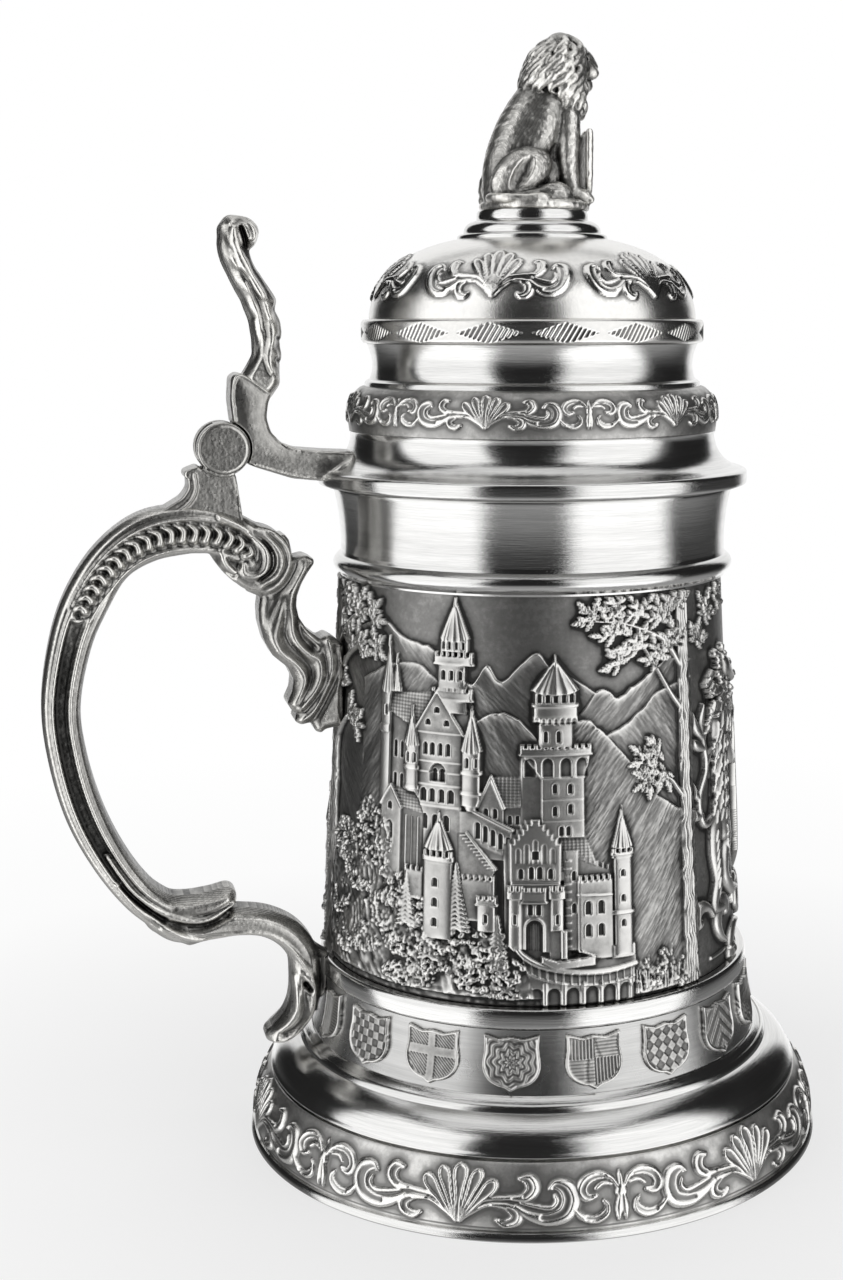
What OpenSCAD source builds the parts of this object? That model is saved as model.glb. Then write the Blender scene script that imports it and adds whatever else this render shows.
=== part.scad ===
// Pewter tankard with a hinged, domed lid and a cast lion finial.
// The origin is on the body's axis at the underside of the foot, +Z is up,
// the handle and the hinge are on the -X side, and the hinge pin lies along Y.

/* [Foot and body] */
// Outer radius of the foot on the table
foot_r = 62; // [60:0.5:64]
// Height of the flared foot
foot_z = 24; // [23:0.5:25]
// Height of the cup floor's top, where the belt starts
floor_z = 36.5; // [35.5:0.5:37.5]
// Body radius under the belt
waist_r = 46; // [45.5:0.1:46.5]
// Outer radius at the top of the relief barrel
barrel_top_r = 40.7; // [40.2:0.1:41.2]
// Height where the relief barrel meets the rim collar
barrel_top_z = 121.5; // [120.5:0.5:122.5]
// Height of the rim
rim_z = 140; // [139.5:0.1:140.5]
// Wall thickness of the body
wall = 2; // [1.6:0.1:2.4]

/* [Shields] */
// Number of small shields around the lower band
shield_count = 18; // [15:1:18]
// Width of one shield
shield_w = 11.2; // [9:0.1:12]
// Height of one shield
shield_h = 10.9; // [9:0.1:11]
// Thickness of one shield
shield_t = 0.7; // [0.5:0.1:1]

/* [Lid] */
// Outer radius of the lid's flange
flange_r = 44.9; // [44.5:0.1:45.3]
// Wall thickness of the lid
lid_wall = 1.8; // [1.5:0.1:2]
// Gap between the closed lid and the rim
lid_gap = 0.3; // [0.2:0.05:0.4]
// Height of the top of the dome
dome_top_z = 190; // [189.5:0.1:190.5]

/* [Hinge] */
// Distance of the hinge pin from the body's axis
hinge_r = 64.7; // [64.5:0.1:65]
// Height of the hinge pin
hinge_z = 148.4; // [148.2:0.1:148.6]
// Radius of the hinge pin
pin_r = 1.5; // [1.3:0.1:1.7]
// Radius of the round ears
ear_r = 5.3; // [5:0.1:5.5]
// Width across both ears
hinge_w = 10.5; // [10:0.1:11]
// Width of the middle knuckle
knuckle_w = 4; // [3.5:0.1:4.5]

/* [Handle] */
// Width of the handle's grip
grip_w = 11.5; // [10.5:0.1:12.5]
// Half of the grip's depth, seen from the side
grip_half = 3.9; // [3.7:0.1:4.1]
// Width of the thumb rest
thumb_w = 14; // [12:0.5:16]

/* [Hidden] */
turned_fn = 96;

pewter = [0.62, 0.61, 0.58];
bright = [0.78, 0.78, 0.77];
dark = [0.42, 0.42, 0.41];
steel = [0.7, 0.71, 0.73];

belt_z = 4.2;
belt_r = waist_r + 0.5;
plate_t = 1.2;
plate_r = foot_r - 2.8;
floor_t = 2;
barrel_low_r = waist_r - 0.7;
neck_r = barrel_top_r - 0.4;
mouth_r = neck_r - wall;
pin_gap = 0.05;
knuckle_gap = 0.3;
cap_t = 0.5;
screw_r = 2;
arm_w = hinge_w;

lid_z = rim_z + lid_gap;
band_z = lid_z + 10.9;
neck_z = band_z + 9.1;
lozenge_z = neck_z + 8.6;
dome_z = lozenge_z + 4.9;
pedestal_z = dome_top_z;
lion_z = pedestal_z + 5.7;
hollow_r = flange_r - 7.5;

// Points on a curve with one or two handles, and the mean of two values along a list
function curve(a, b, c, n = 8) =
    [for (i = [0 : n]) let (t = i / n) (1 - t) * (1 - t) * a + 2 * t * (1 - t) * b + t * t * c];
function bend(a, b, c, d, n = 14) =
    [for (i = [0 : n]) let (t = i / n, s = 1 - t)
        s * s * s * a + 3 * s * s * t * b + 3 * s * t * t * c + t * t * t * d];
function tail(list) = [for (i = [1 : len(list) - 1]) list[i]];
function reversed(list) = [for (i = [len(list) - 1 : -1 : 0]) list[i]];
function inset(list, t) = [for (p = list) [p[0] - t, p[1]]];

// A solid turned from an outline of radius and height
module turned(outline) rotate_extrude($fn = turned_fn) polygon(outline);

// A turned ring whose inside follows its outside at one wall thickness
module turned_shell(outer, t) turned(concat(outer, reversed(inset(outer, t))));

// A flat profile, drawn as distance from the axis and height, stood on the handle's side
module side_plate(width) mirror([1, 0, 0]) rotate([90, 0, 0])
    linear_extrude(width, center = true) children();

// A rod along the hinge
module cross_rod(r, width) translate([-hinge_r, 0, hinge_z]) rotate([90, 0, 0])
    cylinder(r = r, h = width, center = true, $fn = 64);

// A band of varying half width along a path
function side_step(path, i) =
    let (a = path[max(i - 1, 0)], b = path[min(i + 1, len(path) - 1)], d = b - a)
    [-d[1], d[0]] / norm(d);
module ribbon(path, half, share = 1) {
    last = len(path) - 1;
    left = [for (i = [0 : last]) path[i] + side_step(path, i) * share * lookup(i / last, half)];
    right = [for (i = [0 : last]) path[i] - side_step(path, i) * share * lookup(i / last, half)];
    polygon(concat(left, reversed(right)));
}

// Outer outlines of the body
foot_outline = concat(
    [[foot_r, 0], [foot_r - 0.3, 1.4], [foot_r - 0.9, 1.9]],
    curve([foot_r - 1, 3], [foot_r - 1.1, 9.2], [foot_r - 4.3, 14.3]),
    [[foot_r - 4.9, 14.7]],
    curve([foot_r - 4.7, 15], [foot_r - 6.4, 19], [foot_r - 10.8, 21.4]),
    curve([foot_r - 11.3, 21.5], [foot_r - 11.3, 22.6], [waist_r + 2.9, foot_z - 0.3], 4),
    [[waist_r + 2.5, foot_z]]);
shield_band_outline = curve([waist_r + 2.4, foot_z], [waist_r + 0.2, foot_z + 6],
                            [waist_r, floor_z]);
belt_outline = concat([[waist_r - 0.1, floor_z]],
    curve([belt_r - 0.1, floor_z + 0.3], [belt_r + 0.2, floor_z + belt_z / 2],
          [belt_r - 0.1, floor_z + belt_z - 0.3], 6),
    [[barrel_low_r + 0.3, floor_z + belt_z]]);
barrel_outline = [[barrel_low_r, floor_z], [barrel_top_r, barrel_top_z]];
bead_outline = curve([neck_r + 0.5, barrel_top_z + 0.6], [neck_r + 2.6, barrel_top_z + 2.4],
                     [neck_r + 0.4, barrel_top_z + 4.4]);
collar_outline = concat([[neck_r + 0.4, barrel_top_z]], bead_outline,
    curve([neck_r, barrel_top_z + 5.4], [neck_r, rim_z - 7], [neck_r + 1.4, rim_z - 0.6]),
    [[neck_r + 1.2, rim_z]]);

// Outer outlines of the lid
flange_outline = concat(
    [[flange_r - 0.9, lid_z], [flange_r - 0.2, lid_z + 0.7], [flange_r, lid_z + 1.5],
     [flange_r, lid_z + 2.7], [flange_r - 0.6, lid_z + 3.2]],
    curve([flange_r - 1.4, lid_z + 3.6], [hollow_r + 0.9, lid_z + 4.6],
          [hollow_r + 0.5, lid_z + 10.6]),
    [[hollow_r + 0.5, band_z]]);
relief_band_outline = concat([[hollow_r + 0.5, band_z]],
    curve([hollow_r + 0.7, band_z + 0.6], [hollow_r + 1.4, band_z + 6.8],
          [hollow_r - 2, neck_z]));
neck_outline = concat([[hollow_r - 2.8, neck_z], [hollow_r - 2.8, neck_z + 0.9],
                       [hollow_r - 3.5, neck_z + 1.4]],
    curve([hollow_r - 3.6, neck_z + 1.7], [hollow_r - 5, neck_z + 4.6],
          [hollow_r - 3, lozenge_z]));
lozenge_outline = [[hollow_r - 3, lozenge_z], [hollow_r - 2.2, lozenge_z + 0.5],
    [hollow_r - 1.9, lozenge_z + 0.9], [hollow_r - 1.9, dome_z - 0.5],
    [hollow_r - 2.2, dome_z]];
dome_low_r = hollow_r - 3.5;
dome_outline = curve([dome_low_r, dome_z], [dome_low_r - 0.7, dome_top_z - 3.4],
                     [15.6, dome_top_z], 14);
dome_inside = curve([dome_low_r - lid_wall, dome_z], [dome_low_r - 0.6 - lid_wall, dome_top_z - 4.9],
                    [14.8, dome_top_z - lid_wall], 14);

// Handle paths, as distance from the axis and height
grip_path = concat(
    bend([60, 131], [63, 133.4], [67, 132.9], [72, 132.8], 4),
    tail(bend([72, 132.8], [87, 132.8], [98.2, 117], [98.2, 96.5])),
    tail(bend([98.2, 96.5], [98.2, 78], [87, 54.4], [74, 50.4])));
grip_halves = [[0, 1.2 * grip_half], [0.15, 1.3 * grip_half], [0.35, 1.1 * grip_half],
               [0.55, grip_half], [0.85, 0.9 * grip_half], [1, 0.8 * grip_half]];
tail_scroll = concat(
    bend([76, 51], [69, 49.8], [60, 52.5], [54, 42.6], 10),
    tail(bend([54, 42.6], [49.5, 34.5], [50.5, 27], [60, 25.8], 10)));
tail_halves = [[0, 3.2], [0.3, 3], [0.6, 2.6], [0.85, 2.2], [1, 0.8]];
lip_path = curve([84, 58.6], [75, 53.6], [66.6, 56.6]);
lip_halves = [[0, 1.5], [0.6, 2], [1, 1.2]];
s_scroll = concat(
    bend([56.5, 124], [53.5, 118], [55.5, 112], [51, 106.5], 8),
    tail(bend([51, 106.5], [47, 102], [46.5, 96], [47.6, 92.4], 8)));
s_halves = [[0, 5], [0.25, 3.9], [0.45, 4.6], [0.7, 4.4], [0.9, 4.8], [1, 3.4]];
volute_at = [57.6, 126.2];
leaf_tips = [[50.6, 127.6, 1.9], [47.9, 124.6, 1.6]];

// The solid space of the body, for pieces that are fitted against its outside
module body_space() turned(concat([[0, 0]], foot_outline, shield_band_outline, belt_outline,
    tail(barrel_outline), [[0, barrel_top_z]]));

// The solid space of the closed lid above the rim
module lid_space() turned(concat([[0, lid_z]], flange_outline, relief_band_outline,
    [[0, neck_z]]));

// A shield seen from the front, with a dipped top edge and a pointed foot
module shield_shape() {
    half = shield_w / 2;
    right = concat(curve([0, shield_h - 1], [0.5 * half, shield_h - 0.8], [half, shield_h], 4),
        tail(curve([half, shield_h], [0.8 * half, 0.7 * shield_h], [0.95 * half, 0.45 * shield_h], 4)),
        tail(curve([0.95 * half, 0.45 * shield_h], [0.9 * half, 0.12 * shield_h], [0, 0], 5)));
    polygon(concat(right, [for (p = reversed(tail(right))) if (p[0] > 0) [-p[0], p[1]]]));
}

module base_plate() {
    color(pewter) cylinder(r = plate_r, h = plate_t, $fn = turned_fn);
}

module foot() {
    color(bright) turned(concat(foot_outline,
        [[waist_r - wall, foot_z], [waist_r + 0.5, foot_z - 3.6]],
        curve([foot_r - 11.2, 18], [foot_r - 6.4, 12], [plate_r, plate_t], 6),
        [[plate_r, 0]]));
}

module shield_band() {
    color(bright) turned(concat(shield_band_outline,
        [[waist_r - wall, floor_z], [waist_r - wall, foot_z]]));
}

module shields() {
    shield_low_z = foot_z + 0.6;
    tail_gap = 0.2;
    for (i = [0 : shield_count - 1]) color(dark) difference() {
        intersection() {
            turned(concat(inset(shield_band_outline, -shield_t), reversed(shield_band_outline)));
            rotate((i + 0.5) * 360 / shield_count) translate([waist_r - 6, 0, shield_low_z])
                rotate([90, 0, 90]) linear_extrude(12) shield_shape();
        }
        // the shields beside the handle end at its tail
        translate([-foot_r, -grip_w / 2 - tail_gap, foot_z])
            cube([foot_r, grip_w + 2 * tail_gap, floor_z - foot_z]);
    }
}

module vessel_floor() {
    color(bright) translate([0, 0, floor_z - floor_t])
        cylinder(r = waist_r - wall, h = floor_t, $fn = turned_fn);
}

module belt_ring() {
    belt_top_r = barrel_low_r
        - (barrel_low_r - barrel_top_r) * belt_z / (barrel_top_z - floor_z);
    color(bright) turned(concat(belt_outline,
        [[belt_top_r, floor_z + belt_z], [barrel_low_r, floor_z]]));
}

module barrel() {
    color(dark) turned_shell(barrel_outline, wall);
}

module rim_collar() {
    color(bright) turned(concat(collar_outline,
        [[mouth_r, rim_z], [mouth_r, barrel_top_z + 1], [barrel_top_r - wall, barrel_top_z]]));
}

// The grip's stepped section, with a channel sunk along each side
module grip() {
    channel_depth = 0.6;
    difference() {
        union() {
            side_plate(grip_w * 0.66) ribbon(grip_path, grip_halves);
            side_plate(grip_w) ribbon(grip_path, grip_halves, 0.72);
        }
        for (side = [-1, 1]) translate([0, side * grip_w / 2, 0])
            side_plate(2 * channel_depth) ribbon(grip_path, grip_halves, 0.34);
    }
}

module volute() {
    side_plate(grip_w) translate(volute_at) circle(r = 7.2, $fn = 48);
    for (tip = leaf_tips) side_plate(grip_w * 0.8) translate([tip[0], tip[1]]) circle(r = tip[2], $fn = 24);
    side_plate(grip_w * 0.7) polygon([[55, 131], [50.6, 129.4], [46.6, 125.4], [52, 119]]);
}

module handle() {
    color(pewter) difference() {
        union() {
            grip();
            volute();
            side_plate(grip_w * 0.9) ribbon(s_scroll, s_halves);
            side_plate(grip_w) polygon([[40, 90], [46.5, 89], [49, 98], [46.5, 107.5], [40, 108]]);
            side_plate(grip_w * 0.9) ribbon(lip_path, lip_halves);
            side_plate(grip_w * 0.8) ribbon(tail_scroll, tail_halves);
            side_plate(grip_w * 0.5) polygon([[44, 33], [51, 31], [53, 43], [44, 43.6]]);
        }
        body_space();
    }
}

// The fork that carries the pin: two round ears on a flared stem
module hinge_lug() {
    color(pewter) difference() {
        union() {
            cross_rod(ear_r, hinge_w);
            side_plate(hinge_w) polygon(concat(
                [[61.6, 134], [62.1, 138.5], [62.6, hinge_z - 4.4], [66, hinge_z],
                 [69.6, hinge_z - 2], [71.7, hinge_z - 4.4]],
                curve([72.2, hinge_z - 6], [71.4, hinge_z - 12], [80, 134.6], 6)));
        }
        cross_rod(ear_r + knuckle_gap, knuckle_w + 2 * knuckle_gap);
        cross_rod(pin_r, 2 * hinge_w);
        grip_space();
    }
}

// The grip without its side channels, for the lug's saddle
module grip_space() {
    side_plate(grip_w * 0.66) ribbon(grip_path, grip_halves);
    side_plate(2 * grip_w) ribbon(grip_path, grip_halves, 0.72);
}

module hinge_pin() {
    color(steel) cross_rod(pin_r, hinge_w);
}

module pin_caps() {
    for (side = [-1, 1]) color(pewter) translate([0, side * (hinge_w + cap_t) / 2, 0])
        cross_rod(ear_r, cap_t);
}

// The lid's lever: middle knuckle, post for the thumb rest, and arm to the flange
module lid_strap() {
    post = concat(
        [[63.6, hinge_z + 4.6], [63.2, 158], [62.9, 162.9], [61.6, 163.6], [54.6, 158.9]],
        curve([56, 157.6], [56.6, 148.6], [50.6, 148]),
        [[44, 147.9], [36, 147.4], [36, 141.5]],
        curve([45.2, 141.6], [53, 141.9], [61.4, hinge_z - 5], 5));
    color(pewter) difference() {
        union() {
            cross_rod(ear_r - 0.1, knuckle_w);
            difference() {
                union() {
                    side_plate(arm_w) polygon(post);
                    intersection() {
                        side_plate(4 * arm_w) polygon([[36, lid_z + 1], [46.4, lid_z + 1.4],
                            [48, lid_z + 4], [44, 147.4], [36, 147.4]]);
                        translate([-flange_r + 3.4, 0, lid_z])
                            cylinder(r1 = 9.4, r2 = 6, h = 8, $fn = 48);
                    }
                }
                for (side = [-1, 1]) translate([0, side * (hinge_w + knuckle_w) / 2, 0])
                    cross_rod(ear_r + knuckle_gap, hinge_w);
            }
        }
        cross_rod(pin_r + pin_gap, 2 * hinge_w);
        lid_space();
        turned([[0, rim_z - 20], [flange_r, rim_z - 20], [flange_r, lid_z + 1], [0, lid_z + 1]]);
    }
}

// A leaf that bends back and rolls over at the top
module thumb_rest() {
    stem = concat(
        bend([58.4, 161.4], [53.6, 168], [54.6, 173], [57.2, 178], 8),
        tail(bend([57.2, 178], [59.6, 182.6], [63.4, 187], [60.8, 190.6], 8)));
    halves = [[0, 3.4], [0.2, 2.9], [0.5, 2.7], [0.75, 2.4], [1, 2.2]];
    color(pewter) difference() {
        union() {
            side_plate(thumb_w * 0.72) ribbon(stem, halves);
            side_plate(thumb_w) ribbon([for (i = [7 : len(stem) - 1]) stem[i]], [[0, 2], [1, 2.1]]);
            side_plate(thumb_w) translate([60.4, 190.4]) circle(r = 3.4, $fn = 32);
        }
        side_plate(2 * thumb_w) polygon([[50, 155.85], [61.6, 163.6], [62.9, 162.9], [70, 159], [60, 150]]);
    }
}

module lid_flange() {
    color(bright) turned(concat(flange_outline, [[hollow_r + 0.5 - lid_wall, band_z],
        [hollow_r + 0.5 - lid_wall, lid_z + 6], [hollow_r, lid_z + 3], [hollow_r, lid_z]]));
}

// The ring under the lid that centres it in the mouth
module lid_skirt() {
    skirt_t = 1.4;
    color(bright) turned([[hollow_r, rim_z - 2.8], [hollow_r, lid_z + 3],
        [hollow_r - skirt_t, lid_z + 3], [hollow_r - skirt_t, rim_z - 2.8]]);
}

module lid_relief_band() {
    color(dark) turned_shell(relief_band_outline, lid_wall);
}

module lid_neck() {
    color(bright) turned_shell(neck_outline, lid_wall);
}

module lozenge_band() {
    color(bright) turned(concat(lozenge_outline,
        [[dome_low_r - lid_wall, dome_z], [dome_low_r - lid_wall, lozenge_z]]));
}

module lid_dome() {
    color(bright) turned(concat(dome_outline, [[screw_r + 0.2, dome_top_z],
        [screw_r + 0.2, dome_top_z - lid_wall]], reversed(dome_inside)));
}

// The turned stand: a disc, a swelling and a plain ring
module finial_pedestal() {
    color(bright) turned(concat(
        [[screw_r + 0.2, pedestal_z], [15.4, pedestal_z], [15.6, pedestal_z + 0.9],
         [14.4, pedestal_z + 1.2]],
        curve([14.1, pedestal_z + 1.3], [13.8, pedestal_z + 3.2], [11.9, pedestal_z + 3.7], 6),
        [[11.5, pedestal_z + 3.9], [11.5, lion_z], [screw_r + 0.2, lion_z]]));
}

// A seated lion on a rock, facing +X, with a plain shield before its chest
module ball(at, r) translate(at) sphere(r = r, $fn = 24);

module lion() {
    color(pewter) translate([0, 0, lion_z]) difference() {
        union() {
            cylinder(r = 11.3, h = 2.6, $fn = 11);
            hull() {
                ball([-3.8, 0, 7.2], 6);
                ball([4.2, 0, 18.6], 5.6);
            }
            hull() {
                ball([6.6, 0, 30], 5.6);
                ball([3.4, 0, 24], 5.8);
            }
            hull() {
                ball([9.2, 0, 29.4], 4.2);
                ball([11.6, 0, 27.2], 2.5);
            }
            ball([7.2, 0, 19.4], 4.6);
            for (side = [-1, 1]) {
                ball([-1.4, side * 3.4, 7.6], 5);
                hull() {
                    ball([7.4, side * 3.2, 17], 2.4);
                    ball([10.6, side * 3.4, 4], 1.8);
                }
            }
            translate([11.4, 0, 2.4]) cylinder(r = 5.4, h = 14, $fn = 7);
            translate([-9, 2.4, 1]) cylinder(r = 1.9, h = 9, $fn = 20);
        }
        translate([0, 0, -1]) cylinder(r = screw_r, h = 8.3, $fn = 32);
        translate([17, 0, 9]) cube([8, 40, 20], center = true);
    }
}

module finial_screw() {
    washer_t = 1;
    head_h = 2.4;
    head_z = dome_top_z - lid_wall - washer_t - head_h;
    color(steel) {
        translate([0, 0, head_z]) cylinder(r = 3.6, h = head_h, $fn = 6);
        translate([0, 0, head_z + head_h / 2])
            cylinder(r = screw_r, h = lion_z + 7.3 - head_z - head_h / 2, $fn = 32);
    }
}

module finial_washer() {
    color(steel) translate([0, 0, dome_top_z - lid_wall - 1]) difference() {
        cylinder(r = 7, h = 1, $fn = 48);
        translate([0, 0, -1]) cylinder(r = screw_r + 0.1, h = 3, $fn = 32);
    }
}

base_plate();
foot();
shield_band();
shields();
vessel_floor();
belt_ring();
barrel();
rim_collar();
handle();
hinge_lug();
hinge_pin();
pin_caps();
lid_strap();
thumb_rest();
lid_flange();
lid_skirt();
lid_relief_band();
lid_neck();
lozenge_band();
lid_dome();
finial_pedestal();
lion();
finial_screw();
finial_washer();
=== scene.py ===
"""The pewter tankard's looks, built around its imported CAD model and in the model's own frame.

Lengths are in millimetres until a mesh is made. Castings that look alike from both sides are drawn
as distance from the body's axis and height, the way they show from the side.
"""

import math

import bpy
import numpy as np
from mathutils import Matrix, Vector

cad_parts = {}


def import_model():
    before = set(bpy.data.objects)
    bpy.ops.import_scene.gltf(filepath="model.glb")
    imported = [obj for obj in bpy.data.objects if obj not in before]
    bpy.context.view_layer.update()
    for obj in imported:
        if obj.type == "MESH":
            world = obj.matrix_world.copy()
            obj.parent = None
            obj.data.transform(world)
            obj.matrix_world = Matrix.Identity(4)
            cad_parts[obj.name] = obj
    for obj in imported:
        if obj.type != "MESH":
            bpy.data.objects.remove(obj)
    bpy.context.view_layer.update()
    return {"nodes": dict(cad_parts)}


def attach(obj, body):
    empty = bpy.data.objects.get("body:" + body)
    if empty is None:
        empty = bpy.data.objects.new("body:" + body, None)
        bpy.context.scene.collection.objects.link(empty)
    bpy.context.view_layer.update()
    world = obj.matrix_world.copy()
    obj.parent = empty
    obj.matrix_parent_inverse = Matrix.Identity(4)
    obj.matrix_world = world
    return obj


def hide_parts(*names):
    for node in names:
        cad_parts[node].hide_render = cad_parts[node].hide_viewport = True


MM = 0.001
CAMERA_TURN = 255.0  # polar angle, in degrees, of the line from the axis to the camera

# Body heights and radii, as in the CAD model
FOOT_TOP = 24.0
FLOOR = 36.5
BELT_TOP = 40.7
BARREL_TOP = 121.5
BARREL_LOW_R = 45.3
BARREL_TOP_R = 40.7
LID = 140.3
BAND = 151.2
NECK = 160.3
LOZENGE = 168.9
DOME = 173.8
DOME_TOP = 190.0
LION = 195.7
WALL = 2.0
HINGE_R = 64.7
HINGE_Z = 148.4

PANEL_R = 43.0  # mean radius of the relief barrel
PANEL_STEP = 0.19
ORNAMENT_TURN = 241.5  # polar angle of one palmette
REPEATS = 6
PALMETTE_REACH = 31.6  # how far a palmette and half its lily are drawn, before they are scaled

SHIELDS = 18
SHIELD_R = 47.0
SHIELD_STEP = 0.17
LION_STEP = 0.21
LOCKS_END = 24.0  # height on the lion under which its coat is rough

CAMERA_DISTANCE = 0.3911
CAMERA_HEIGHT = 0.1733
CAMERA_TILT = 9.729  # degrees down
CAMERA_LENS = 52.17
CAMERA_SHIFT = -0.0865


# ---------------------------------------------------------------- lines and noise


def bow(a, b, c, count=20):
    """Points on a curve from a to c that is pulled towards b."""
    t = np.linspace(0, 1, count + 1)[:, None]
    a, b, c = (np.array(p, float) for p in (a, b, c))
    return (1 - t) ** 2 * a + 2 * t * (1 - t) * b + t * t * c


def flow(points, count=7):
    """A smooth line through points, with any further value that each carries."""
    p = np.array(points, float)
    p = np.vstack([2 * p[0] - p[1], p, 2 * p[-1] - p[-2]])
    t = np.linspace(0, 1, count, endpoint=False)[:, None]
    out = []
    for i in range(1, len(p) - 2):
        a, b, c, d = p[i - 1 : i + 3]
        bend = (2 * a - 5 * b + 4 * c - d) * t**2 + (3 * b - a - 3 * c + d) * t**3
        out.append(0.5 * (2 * b + (c - a) * t + bend))
    out.append(p[-2][None])
    return np.vstack(out)


def grain(x, y, size, seed=0):
    """Smooth random values from -1 to 1, one hill for each size."""
    rng = np.random.default_rng(seed)
    table = rng.uniform(-1, 1, (256, 256))
    u, v = x / size + 1000.0, y / size + 1000.0
    i, j = np.floor(u).astype(int), np.floor(v).astype(int)
    s, t = u - i, v - j
    s, t = s * s * (3 - 2 * s), t * t * (3 - 2 * t)
    a, b = table[i % 256, j % 256], table[(i + 1) % 256, j % 256]
    c, d = table[i % 256, (j + 1) % 256], table[(i + 1) % 256, (j + 1) % 256]
    return (a * (1 - s) + b * s) * (1 - t) + (c * (1 - s) + d * s) * t


def blurred(field, reach, times=2):
    """The field with each value averaged over its neighbours within reach cells."""
    reach = max(1, int(round(reach)))
    width = 2 * reach + 1
    for _ in range(times):
        for axis in range(field.ndim):
            pad = [(0, 0)] * field.ndim
            pad[axis] = (reach + 1, reach)
            run = np.cumsum(np.pad(field, pad, mode="edge"), axis=axis, dtype=np.float64)
            length = run.shape[axis]
            high = np.take(run, range(width, length), axis=axis)
            low = np.take(run, range(0, length - width), axis=axis)
            field = ((high - low) / width).astype(np.float32)
    return field


# ---------------------------------------------------------------- meshes


def make_mesh(name, points, faces, wear=None, corner=None):
    """An object from points in millimetres and faces of one size."""
    faces = np.asarray(faces, np.int32)
    mesh = bpy.data.meshes.new(name)
    mesh.vertices.add(len(points))
    mesh.vertices.foreach_set("co", (np.asarray(points, np.float64) * MM).astype(np.float32).ravel())
    mesh.loops.add(faces.size)
    mesh.loops.foreach_set("vertex_index", faces.ravel())
    mesh.polygons.add(len(faces))
    mesh.polygons.foreach_set("loop_start", np.arange(0, faces.size, faces.shape[1], dtype=np.int32))
    mesh.update(calc_edges=True)
    mesh.polygons.foreach_set("use_smooth", np.ones(len(faces), bool))
    if corner:
        mesh.set_sharp_from_angle(angle=math.radians(corner))
    if wear is not None:
        layer = mesh.attributes.new("wear", "FLOAT", "POINT")
        layer.data.foreach_set("value", np.asarray(wear, np.float32).ravel())
    thing = bpy.data.objects.new(name, mesh)
    bpy.context.scene.collection.objects.link(thing)
    return thing


def grid_faces(rows, columns, close_rows=False, close_columns=False):
    """Quads over a grid of points, with outward sides for rows that climb and columns that turn left."""
    i = np.arange(rows if close_rows else rows - 1)[:, None]
    j = np.arange(columns if close_columns else columns - 1)[None]
    i2, j2 = (i + 1) % rows, (j + 1) % columns
    quad = [i * columns + j, i * columns + j2, i2 * columns + j2, i2 * columns + j]
    return np.stack([np.broadcast_to(q, (i.size, j.size)) for q in quad], -1).reshape(-1, 4)


def turned(name, *lines, segments=360, corner=28):
    """A part turned from a closed outline of radius and height, drawn up the outside first."""
    p = np.vstack([np.atleast_2d(np.array(line, float)) for line in lines])
    angle = np.linspace(0, 2 * math.pi, segments, endpoint=False)
    r, z = p[:, 0][:, None], p[:, 1][:, None]
    points = np.stack([r * np.cos(angle), r * np.sin(angle), z + 0 * angle], -1).reshape(-1, 3)
    return make_mesh(name, points, grid_faces(len(p), segments, True, True), corner=corner)


def resampled(line, step):
    """The line as points at an even step, with each one's outward direction."""
    p = np.asarray(line, float)
    run = np.r_[0, np.cumsum(np.hypot(*np.diff(p, axis=0).T))]
    at = np.linspace(0, run[-1], int(run[-1] / step) + 2)
    q = np.stack([np.interp(at, run, p[:, 0]), np.interp(at, run, p[:, 1])], -1)
    d = np.gradient(blurred_line(q), axis=0)
    d /= np.hypot(d[:, 0], d[:, 1])[:, None]
    return q, np.stack([d[:, 1], -d[:, 0]], -1), at


def blurred_line(q):
    """Every row but the first and last becomes the mean of itself and its neighbours."""
    out = q.copy()
    out[1:-1] = (q[:-2] + q[1:-1] + q[2:]) / 3
    return out


def wrapped(name, line, out, angle, height, wear, parts=1, closed=False, skirt=0.5):
    """A relief laid on a turned surface, in equal parts side by side, with its edges turned in."""
    things = []
    last = len(angle) if closed else len(angle) - 1
    cuts = np.linspace(0, last, parts + 1).astype(int)
    for k in range(parts):
        take = np.arange(cuts[k], cuts[k + 1] + 1) % len(angle)
        a, h, w = angle[take], height[:, take], wear[:, take]
        h = np.vstack([h[:1] - skirt, h, h[-1:] - skirt])
        w = np.vstack([w[:1], w, w[-1:]])
        p = np.vstack([line[:1], line, line[-1:]])
        n = np.vstack([out[:1], out, out[-1:]])
        if not closed and k == 0:
            a, h, w = np.r_[a[:1], a], np.hstack([h[:, :1] - skirt, h]), np.hstack([w[:, :1], w])
        if not closed and k == parts - 1:
            a, h, w = np.r_[a, a[-1:]], np.hstack([h, h[:, -1:] - skirt]), np.hstack([w, w[:, -1:]])
        r = p[:, :1] + n[:, :1] * h
        z = p[:, 1:] + n[:, 1:] * h
        points = np.stack([r * np.cos(a), r * np.sin(a), z], -1).reshape(-1, 3)
        label = f"{name}_{k + 1}" if parts > 1 else name
        things.append(make_mesh(label, points, grid_faces(*r.shape), w))
    return things


# ---------------------------------------------------------------- relief


def inside_of(x, z, outline):
    """Distance to a closed outline, positive inside."""
    p = np.asarray(outline, float)
    near = np.full(x.shape, 1e9)
    odd = np.zeros(x.shape, bool)
    for a, b in zip(p, np.roll(p, -1, 0)):
        d = b - a
        t = np.clip(((x - a[0]) * d[0] + (z - a[1]) * d[1]) / max(d @ d, 1e-9), 0, 1)
        near = np.minimum(near, np.hypot(x - a[0] - t * d[0], z - a[1] - t * d[1]))
        if a[1] != b[1]:
            crosses = (a[1] > z) != (b[1] > z)
            odd ^= crosses & (x < d[0] * (z - a[1]) / d[1] + a[0])
    return np.where(odd, near, -near)


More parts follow.
